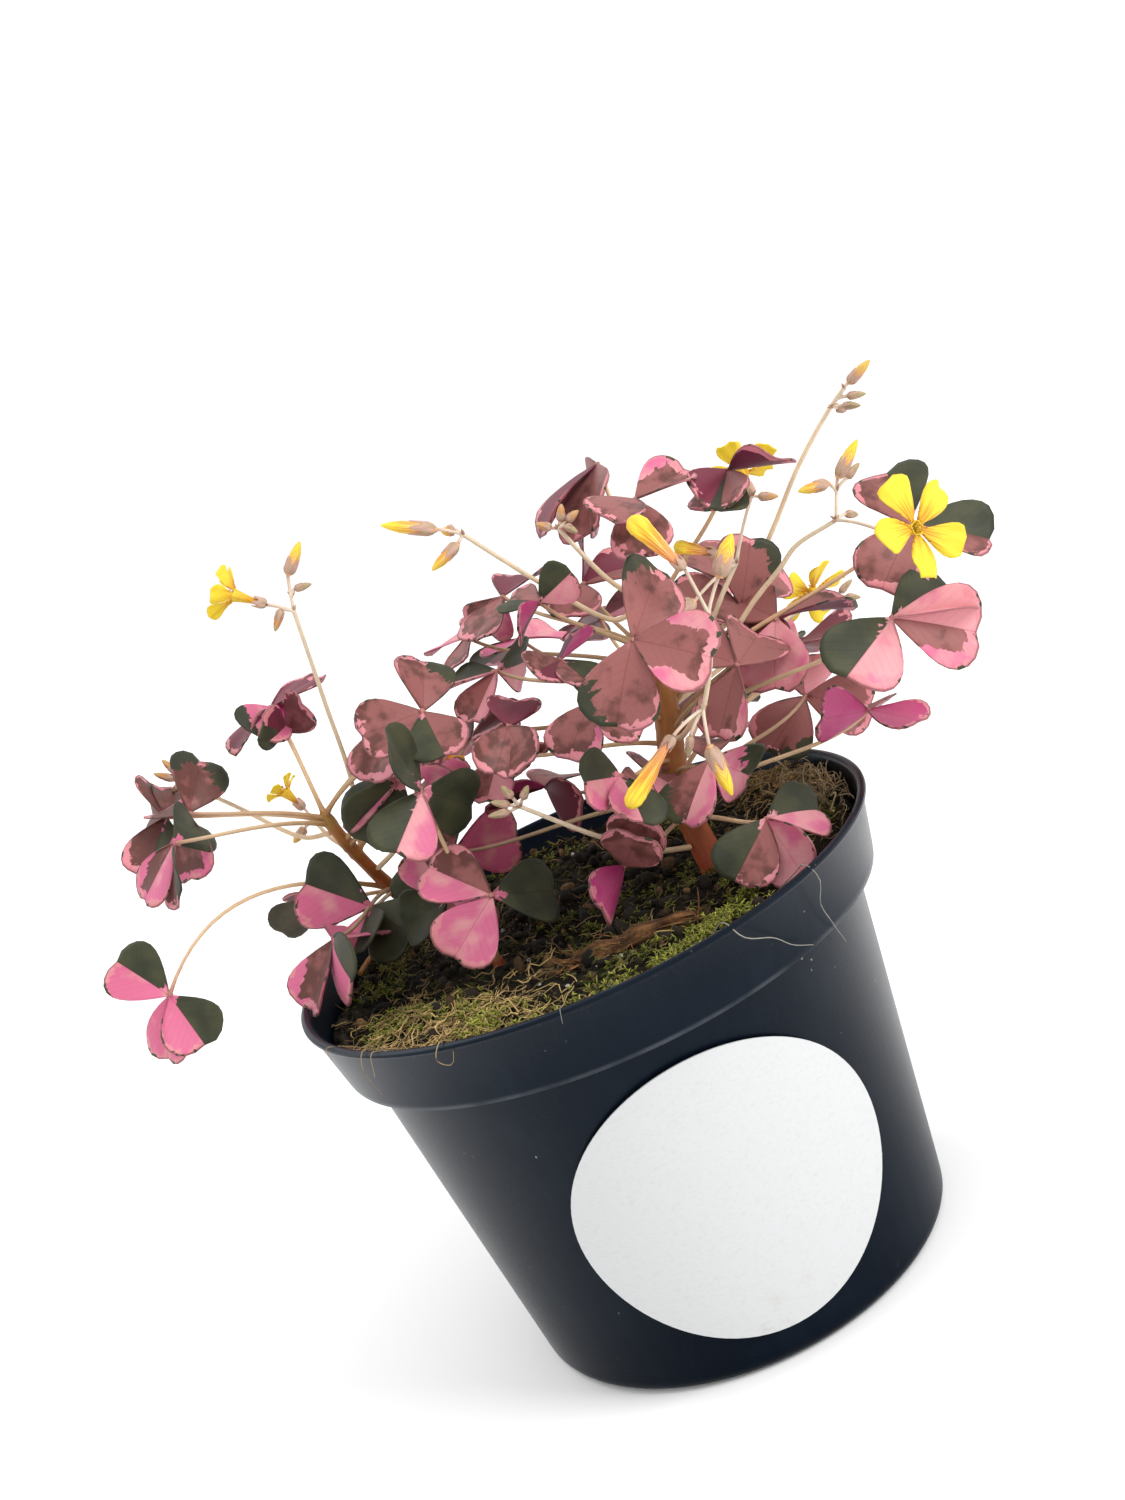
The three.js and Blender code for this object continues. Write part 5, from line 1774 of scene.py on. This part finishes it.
@dataclass
class LeafyStem:
    """A stem with its petioles and leaves.

    Attributes:
        key: Its key in the tables.
        finishes: The plant's materials.
        seed: Picks its variety.
        leaf_zone: The shares of the stem's height between which petioles leave it.
        petiole_radii: A petiole's radius at its foot and at its hub.
        node_length: How far a swelling reaches along the stem, as a share of it.
    """

    key: str
    finishes: Finishes
    seed: int
    leaf_zone: Pair = (0.06, 0.97)
    petiole_radii: Pair = (0.52, 0.37)
    node_length: float = 0.014

    def petioles(self) -> tuple[Array, Array]:
        """The petioles' paths, and the shares of the stem where they spring.

        A petiole is a cubic that leaves the stem towards its hub and comes in under the
        leaf's face.
        """
        plan, leaves = STEMS[self.key], LEAVES[self.key]
        hubs = np.array([leaf.hub for leaf in leaves], float)
        faces = heading(*np.array([leaf.face for leaf in leaves], float).T)
        arches = np.array([[0, 0, leaf.arch] for leaf in leaves], float)
        rise = plan.leaf_root * (hubs[:, 2] - SOIL_LEVEL) / (plan.path[-1][2] - SOIL_LEVEL)
        springs = np.minimum(self.leaf_zone[1], plan.share(self.leaf_zone[0] + rise))
        feet = along(plan.path, springs)
        reach = np.linalg.norm(hubs - feet, axis=1, keepdims=True)
        away = (hubs - feet) / reach
        leave = feet + 0.35 * reach * away + 0.08 * reach * UP + arches
        arrive = hubs - 0.25 * reach * away - 0.12 * reach * faces + 2 * arches
        return bezier(np.stack([feet, leave, arrive, hubs], 1), 18), springs

    def shoots(self) -> None:
        """Makes the stem, which swells where petioles leave it, its petioles and its runner."""
        plan = STEMS[self.key]
        petioles, springs = self.petioles()
        share = np.linspace(0, 1, 70)
        path = along(plan.path, share)
        rings = np.exp(-(((share[:, None] - springs) / self.node_length) ** 2)).max(1)
        where = polar(2, around(24), 9 * share[:, None])
        bark = 1 + 0.05 * ripple(self.seed, where, 2.5, 3)
        radii = (np.interp(share, [0, 1], plan.radii) * (1 + 0.14 * rings))[:, None] * bark
        radii[-4:] *= np.array([0.95, 0.85, 0.65, 0.35])[:, None]
        green = 0.5 * ramp(share, 0.8, 1.0) + 0.25 * rings
        low = np.exp(-np.clip(path[:, 2] - SOIL_LEVEL, 0, None) / 9)
        dye = blend(TRUNK, NODE_GREEN, green[:, None]) + (TRUNK_FOOT - TRUNK) * low[:, None]
        skin = Skin()
        skin.add(tubes(path, radii, 24), capped(dye)[:, None])

        out = np.linspace(0, 1, 18)
        flare = 1 + 0.7 * np.exp(-out / 0.04) + 0.35 * np.exp(-(1 - out) / 0.03)
        radii = np.interp(out, [0, 1], self.petiole_radii) * flare
        foot = np.exp(-out / 0.18)[:, None]
        head = np.exp(-(1 - out) / 0.08)[:, None]
        rng = np.random.default_rng(self.seed)
        red = rng.beta(1.0, 3.5, (len(petioles), 1, 1))
        base = blend(PETIOLE, PETIOLE_RED, red)
        dye = blend(base, PETIOLE_FOOT, foot) + (PETIOLE_HEAD - base) * head
        shade = rng.uniform(0.8, 1.12, (len(petioles), 1, 1, 1))
        skin.add(tubes(petioles, radii, 8), capped(dye, 1)[:, :, None] * shade)
        hubs = petioles[:, -1]
        skin.add(lumps(rng, hubs, np.full(len(hubs), 0.62)), PETIOLE_HEAD)
        if plan.runner:
            runner = along(plan.runner, np.linspace(0, 1, 30))
            skin.add(tubes(runner, np.linspace(0.6, 0.8, 30), 8), PETIOLE_FOOT)
        piece = skin.sew("shoots_" + self.key, [self.finishes.shoot], 60.0)
        settle(piece, "stalk", plan.node)

    def leaves(self) -> None:
        """Makes the leaflets: blades whose upper face is square to the leaf's own face."""
        leaves = LEAVES[self.key]
        rows = [(*leaf.hub, *leaf.face, leaf.length) for leaf in leaves]
        hubs, face, length = np.split(np.repeat(np.array(rows, float), 3, axis=0), [3, 5], axis=1)
        faces = heading(*face.T)
        bearings, rises, rolls = np.array([leaf.midribs for leaf in leaves], float).reshape(-1, 3).T
        midribs = heading(bearings, rises)
        flat = unit(faces - midribs * (faces * midribs).sum(-1, keepdims=True))
        roll = np.radians(rolls)[:, None]
        normals = flat * np.cos(roll) + np.cross(midribs, flat) * np.sin(roll)
        rng = np.random.default_rng(self.seed)
        points, chart, out = blades(rng, hubs, midribs, normals, length[:, 0], LEAFLET)
        letters = "".join(leaf.tones for leaf in leaves).replace(" ", "")
        tones = np.array([Tone[letter].value for letter in letters])
        dye = tones.reshape(-1, 2, 2).transpose(0, 2, 1).reshape(-1, 1, 1, 4)
        seeds = rng.uniform(size=(len(points), 1, 1))
        mood = 0.6 * rng.uniform(-1, 1, len(leaves)) - np.clip(hubs[::3, 0] / 60, -1, 1)
        marks = stacked(seeds, out, np.repeat(mood, 3)[:, None, None])
        skin = Skin()
        skin.add(points, dye, chart, marks)
        piece = skin.sew("leaves_" + self.key, [self.finishes.upper, self.finishes.under], 180.0)
        thicken(piece, 0.34, under=1)
        settle(piece, "leaf", STEMS[self.key].node)

    def build(self) -> None:
        """Makes the stem and its leaves."""
        self.shoots()
        self.leaves()


@dataclass
class FlowerStalk:
    """A flower stalk with its pedicels, buds and calyces.

    Attributes:
        plan: Where it grows.
        finishes: The plant's materials.
        seed: Picks its variety.
        radii: Its radius at its foot and at the umbel.
        pedicel: The radius of a pedicel.
        calyx: The radius of a calyx.
    """

    plan: SprayPlan
    finishes: Finishes
    seed: int
    radii: Pair = (0.58, 0.42)
    pedicel: float = 0.33
    calyx: float = 1.15

    def foot(self) -> Array:
        """Where it springs, just clear of its stem."""
        stem = STEMS[self.plan.stem]
        share = stem.share(self.plan.springs)
        axis = along(stem.path, np.array([share]))[0]
        clear = np.interp(share, [0, 1], stem.radii) + 2 * GAP
        return axis + unit(self.plan.path[0] - axis) * clear

    def stalks(self, skin: Skin) -> None:
        """Adds the stalk, and a pedicel that arches up to each bud and flower.

        Args:
            skin: The skin that takes them.
        """
        path = through([self.foot(), *self.plan.path], np.linspace(0, 1, 40))
        share = np.linspace(0, 1, 42)[:, None, None]
        radii = np.interp(np.linspace(0, 1, 40), [0, 1], self.radii)
        skin.add(tubes(path, radii, 8), blend(PETIOLE, PEDUNCLE, share))
        forks, feet = self.plan.forks()
        arches = (forks + feet) / 2
        arches[:, 2] += 0.08 * np.linalg.norm(feet - forks, axis=1)
        paths = bezier(np.stack([forks, arches, feet], 1), 12)
        radii = self.pedicel * (1 + 0.35 * np.exp(-np.linspace(0, 1, 12) / 0.08))
        share = np.linspace(0, 1, 14)[:, None, None]
        skin.add(tubes(paths, radii, 7), blend(PEDICEL, SEPAL, share**3))
        scales = np.repeat(forks, 2, axis=0)
        rng = np.random.default_rng(self.seed)
        ways = heading(rng.uniform(0, 360, len(scales)), rng.uniform(10, 60, len(scales)))
        ways = ways * rng.uniform(0.9, 1.7, (len(scales), 1))
        paths = scales[:, None] + np.linspace(0, 1, 4)[:, None] * ways[:, None]
        skin.add(tubes(paths, [0.3, 0.32, 0.2, 0.03], 5), SEPAL * [0.8, 0.8, 0.7, 1])

    def cups(self, skin: Skin, feet: Array, axes: Array, lengths: Array, radii: Array) -> None:
        """Adds cups of five sepals: a wall whose brim rises in five points.

        Args:
            skin: The skin that takes them.
            feet: Where they start.
            axes: The ways they look.
            lengths: Their lengths, up to the points.
            radii: Their greatest radii.
        """
        out = np.linspace(0, 1, 9)
        share = np.concatenate([out, out[::-1]])[:, None]
        inner = np.repeat([0.0, 0.2], len(out))[:, None]
        angle = around(40)
        brim = 0.55 + 0.45 * np.abs(np.cos(2.5 * angle)) ** 1.4
        swell = np.interp(share, [0, 0.2, 0.5, 0.8, 1], [0.3, 0.75, 1, 1.0, 0.97])
        side, up = (way[:, None, None] for way in axes_of(axes))
        radius = np.maximum(radii[:, None, None] * swell - inner, 0) * (share > 0)
        ring = radius[..., None] * spokes(side, up, angle)
        rise = (lengths[:, None, None] * share * brim)[..., None] * axes[:, None, None]
        green = 0.6 * (0.5 - 0.5 * np.cos(5 * angle)) * (1 - 0.5 * share)
        skin.add(feet[:, None, None] + rise + ring, blend(SEPAL, BUD_GREEN, green[..., None]))

    def buds(self, skin: Skin) -> None:
        """Adds the buds: ribbed spindles in their sepals, yellow where a large one opens.

        Args:
            skin: The skin that takes them.
        """
        feet, tips, radii = (np.array(part, float) for part in list(zip(*self.plan.buds))[:3])
        radii = radii * 0.92
        share = np.linspace(0, 1, 16)
        places, sizes = [0, 0.12, 0.34, 0.66, 0.88, 1], [0.42, 0.75, 0.95, 0.86, 0.5, 0.14]
        swell = np.interp(share, places, sizes)
        angle = around(20)
        ribs = 1 + 0.07 * np.cos(5 * (angle - 0.9 * share[:, None]))
        paths = feet[:, None] + share[:, None] * (tips - feet)[:, None]
        grids = tubes(paths, radii[:, None, None] * swell[:, None] * ribs, 20)
        large = ramp(radii, 0.8, 1.2)[:, None, None, None]
        shown = ramp(np.linspace(0, 1, 18), 0.3, 0.7)[:, None, None]
        green = (0.5 + 0.5 * np.cos(5 * angle))[:, None]
        closed = blend(SEPAL, BUD_GREEN, 0.35 + 0.5 * green)
        dye = blend(closed, blend(CREAM, YELLOW, shown), large)
        young = radii < 0.8
        skin.add(grids[young], dye[young])
        if not young.all():
            skin.add(grids[~young], dye[~young], finish=1)
        lengths = np.linalg.norm(tips - feet, axis=1)
        self.cups(skin, feet, (tips - feet) / lengths[:, None], 0.52 * lengths, radii * 1.03 + 0.06)

    def calyces(self, skin: Skin) -> None:
        """Adds the calyces of the flowers.

        Args:
            skin: The skin that takes them.
        """
        feet, ways = (np.array(part, float) for part in list(zip(*self.plan.flowers))[:2])
        size = np.ones(len(feet))
        self.cups(skin, feet, heading(*ways.T), CALYX_LENGTH * 1.12 * size, self.calyx * size)

    def build(self) -> None:
        """Makes the whole stalk."""
        skin = Skin()
        self.stalks(skin)
        self.buds(skin)
        if self.plan.flowers:
            self.calyces(skin)
        finishes = [self.finishes.shoot, self.finishes.furled]
        piece = skin.sew(self.plan.node.replace("spray", "stalk"), finishes, 60.0)
        settle(piece, "stalk", self.plan.node)


@dataclass
class Corolla:
    """A corolla, open, furled or withered.

    Attributes:
        plan: What it is and where it grows.
        finishes: The plant's materials.
        seed: Picks its variety.
        petals: How many petals it has.
        stamens: How many stamens it has, every other one short.
    """

    plan: BloomPlan
    finishes: Finishes
    seed: int
    petals: int = 5
    stamens: int = 10

    def axis(self) -> tuple[Array, Array]:
        """Where it starts inside its calyx, and the way it looks."""
        spray = next(plan for plan in SPRAYS if plan.node == self.plan.spray)
        base, way = spray.flowers[self.plan.flower][:2]
        axis = heading(*way)
        return np.array(base, float) + axis * (CALYX_LENGTH + GAP), axis

    def tube(self, skin: Skin) -> Array:
        """Adds the tube of an open corolla: a funnel, thin-walled, from the calyx to the throat.

        Args:
            skin: The skin that takes it.

        Returns:
            The throat.
        """
        foot, axis = self.axis()
        sunk = CALYX_LENGTH - 1.0
        foot = foot - axis * sunk
        side, up = axes_of(axis)
        length = self.plan.tube + sunk
        out = np.linspace(0, 1, 10)
        share = np.concatenate([out, out[::-1]])[:, None]
        wall = np.repeat([0.0, 0.2], len(out))[:, None]
        angle = around(30)
        radius = (0.5 + 0.85 * share**1.6) * (1 + 0.07 * np.cos(5 * angle)) - wall
        ring = radius[..., None] * spokes(side, up, angle)
        dye = blend(YELLOW, ORANGE, 0.35 * (1 - share[..., None]))
        skin.add(foot + (length * share)[..., None] * axis + ring, dye)
        return foot + length * axis

    def opened(self) -> bpy.types.Object:
        """Makes an open corolla: petals round the throat, and long and short stamens in it."""
        rng = np.random.default_rng(self.seed)
        skin = Skin()
        throat = self.tube(skin)
        _, axis = self.axis()
        side, up = axes_of(axis)
        turn = np.radians(self.plan.turn + 360 * np.arange(self.petals) / self.petals)
        outward = spokes(side, up, turn)
        flare = np.radians(self.plan.flare + rng.uniform(-6, 6, (self.petals, 1)))
        midribs = outward * np.cos(flare) + axis * np.sin(flare)
        normals = axis * np.cos(flare) - outward * np.sin(flare)
        hubs = throat + outward * 0.9 - axis * 0.4
        lengths = (self.plan.petal - 0.9) * rng.uniform(0.96, 1.04, self.petals)
        points, chart, _ = blades(rng, hubs, midribs, normals, lengths, PETAL)
        warm = 0.4 * ramp(chart[..., :1], 0.45, 0.0)
        marks = rng.uniform(size=(self.petals, 1, 1, 1)) * [1, 0, 0]
        sheet = Skin()
        sheet.add(points, blend(YELLOW, ORANGE, warm), chart, marks)
        number = np.arange(self.stamens)
        ring = spokes(side, up, np.radians(360 * number / self.stamens))
        tall = np.where(number % 2, 2.6, 1.7)[:, None]
        start = (throat - axis * 1.5 + 0.25 * ring)[:, None]
        paths = start + np.linspace(0, 1, 5)[:, None] * (tall * axis + 0.35 * ring)[:, None]
        skin.add(tubes(paths, [0.1, 0.09, 0.08, 0.08, 0.07], 5), FILAMENT)
        skin.add(lumps(rng, paths[:, -1], np.full(self.stamens, 0.24)), ANTHER)
        petals = sheet.sew(self.plan.node.replace("bloom", "petals"), [self.finishes.petal], 180.0)
        thicken(petals, 0.22)
        settle(petals, "petal", self.plan.node)
        return skin.sew(self.plan.node.replace("bloom", "throat"), [self.finishes.petal], 60.0)

    def closed(self) -> bpy.types.Object:
        """Makes a closed corolla: a spindle of rolled petals whose folds wind round it."""
        foot, axis = self.axis()
        withered = self.plan.state is Bloom.WITHERED
        sunk = CALYX_LENGTH - 1.2
        length = self.plan.length + sunk
        share = np.linspace(0, 1, 36)
        sag = 0.15 if withered else 0.05
        path = foot + (share[:, None] * length - sunk) * axis
        path[:, 2] -= sag * length * share**2
        places, sizes = [0, 0.1, 0.35, 0.6, 0.8, 0.93, 1], [0.4, 0.42, 0.62, 0.8, 1.0, 0.82, 0.35]
        swell = np.interp(share, places, sizes)
        angle = around(30)
        fold = 0.5 + 0.5 * np.cos(5 * (angle - 1.4 * share[:, None]))
        where = polar(1, angle, 5 * share[:, None])
        crumple = (0.28 if withered else 0.06) * ripple(self.seed, where, 1.9, 3)
        radii = self.plan.radius * swell[:, None] * (0.86 + 0.16 * fold + crumple)
        tip = ramp(share, 0.25, 0.75)[:, None, None]
        warm = (1 - fold)[..., None] * (1 - 0.75 * tip)
        dye = blend(WITHERED if withered else YELLOW, ORANGE, warm * 0.75)
        blush = np.clip(1.1 - share / 0.62, 0, 1)[:, None] * (0.6 + 0.4 * fold)
        dye = blend(dye, BLUSH, blush[..., None] * (0.2 if withered else 0.9))
        skin = Skin()
        skin.add(tubes(path, radii, 30), capped(dye))
        return skin.sew(self.plan.node.replace("bloom", "corolla"), [self.finishes.furled], 180.0)

    def build(self) -> None:
        """Makes the corolla."""
        piece = self.opened() if self.plan.state is Bloom.OPEN else self.closed()
        slot = "wilted_petal" if self.plan.state is Bloom.WITHERED else "petal"
        settle(piece, slot, self.plan.node)


# ---- floor, light and camera


@dataclass(frozen=True)
class Studio:
    """A pale floor in an even white room, two soft lamps, and the camera.

    Attributes:
        floor_size: The side of the floor, in metres.
        position: The camera's place, in millimetres.
        right: The way to the right of the picture.
        up: The way to its top.
        back: The way from the subject to the camera.
        lens: The focal length for a 36 mm sensor.
    """

    floor_size: float = 24.0
    position: Triple = (8.4, -322.26, 186.61)
    right: Triple = (0.91176, -0.09169, -0.40035)
    up: Triple = (0.41071, 0.20355, 0.88875)
    back: Triple = (0.0, -0.97476, 0.22325)
    lens: float = 40.8

    def floor(self) -> None:
        """Makes the floor, a plain pale sheet."""
        half = self.floor_size / 2 / MM
        line = np.linspace(-half, half, 3)
        x, y = np.meshgrid(line, line)
        skin = Skin()
        skin.add(np.stack([x, y, 0 * x], -1))
        mix = Recipe("floor_paint")
        cloud = mix.noise(mix.place(), 6.0, 2.0)
        colour = mix.tint(cloud, (0.97, 0.97, 0.97), (0.98, 0.98, 0.975))
        piece = skin.sew("floor", [mix.close(mix.surface(colour, 0.8, Specular_IOR_Level=0.1))])

    def lamp(self, name: str, place: Triple, size: float, power: float) -> None:
        """Adds a soft square lamp that looks at the plant.

        Args:
            name: Its name.
            place: Where it hangs, in metres.
            size: The length of its side, in metres.
            power: Its power, in watts.
        """
        data = bpy.data.lights.new(name, "AREA")
        data.shape, data.size, data.energy = "SQUARE", size, power
        lamp = bpy.data.objects.new(name, data)
        back = unit(np.array(place) - np.array([0.0, 0.0, 0.1]))
        side, up = axes_of(back)
        lamp.matrix_world = self.stand(side, up, back, np.array(place))
        bpy.context.scene.collection.objects.link(lamp)

    @staticmethod
    def stand(right: Array, up: Array, back: Array, place: Array) -> Matrix:
        """The matrix of an object with those ways of its axes, at a place in metres."""
        rows = np.stack([right, up, back, place], 1)
        return Matrix([*rows.tolist(), [0.0, 0.0, 0.0, 1.0]])

    def build(self) -> None:
        """Sets up the floor, the light and the camera."""
        scene = bpy.context.scene
        self.floor()
        self.lamp("key_lamp", (1.05, -0.65, 1.05), 0.7, 17.0)
        self.lamp("back_lamp", (-0.7, 0.8, 1.2), 0.9, 6.0)
        world = bpy.data.worlds.new("room")
        world.use_nodes = True
        background = world.node_tree.nodes["Background"]
        background.inputs["Color"].default_value = (1.0, 1.0, 1.0, 1.0)
        background.inputs["Strength"].default_value = 1.03
        scene.world = world
        scene.view_settings.view_transform = "Standard"
        data = bpy.data.cameras.new("camera")
        data.lens, data.sensor_width, data.sensor_fit = self.lens, 36.0, "AUTO"
        data.clip_start, data.clip_end = 0.01, 100.0
        camera = bpy.data.objects.new("camera", data)
        ways = (np.array(way) for way in (self.right, self.up, self.back))
        camera.matrix_world = self.stand(*ways, np.array(self.position) * MM)
        scene.collection.objects.link(camera)
        scene.camera = camera


def main() -> None:
    """Builds every piece in order."""
    logging.basicConfig(level=logging.INFO, format="%(name)s: %(message)s")
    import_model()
    Studio().build()
    NurseryPot().build()
    PlainLabel().build()
    Bed().build()
    DeadWood().build()
    finishes = Finishes()
    for seed, key in enumerate(STEMS, start=20):
        LeafyStem(key, finishes, seed).build()
    for seed, stalk in enumerate(SPRAYS, start=40):
        FlowerStalk(stalk, finishes, seed).build()
    for seed, bloom in enumerate(BLOOMS, start=60):
        Corolla(bloom, finishes, seed).build()


if __name__ == "__main__":
    main()
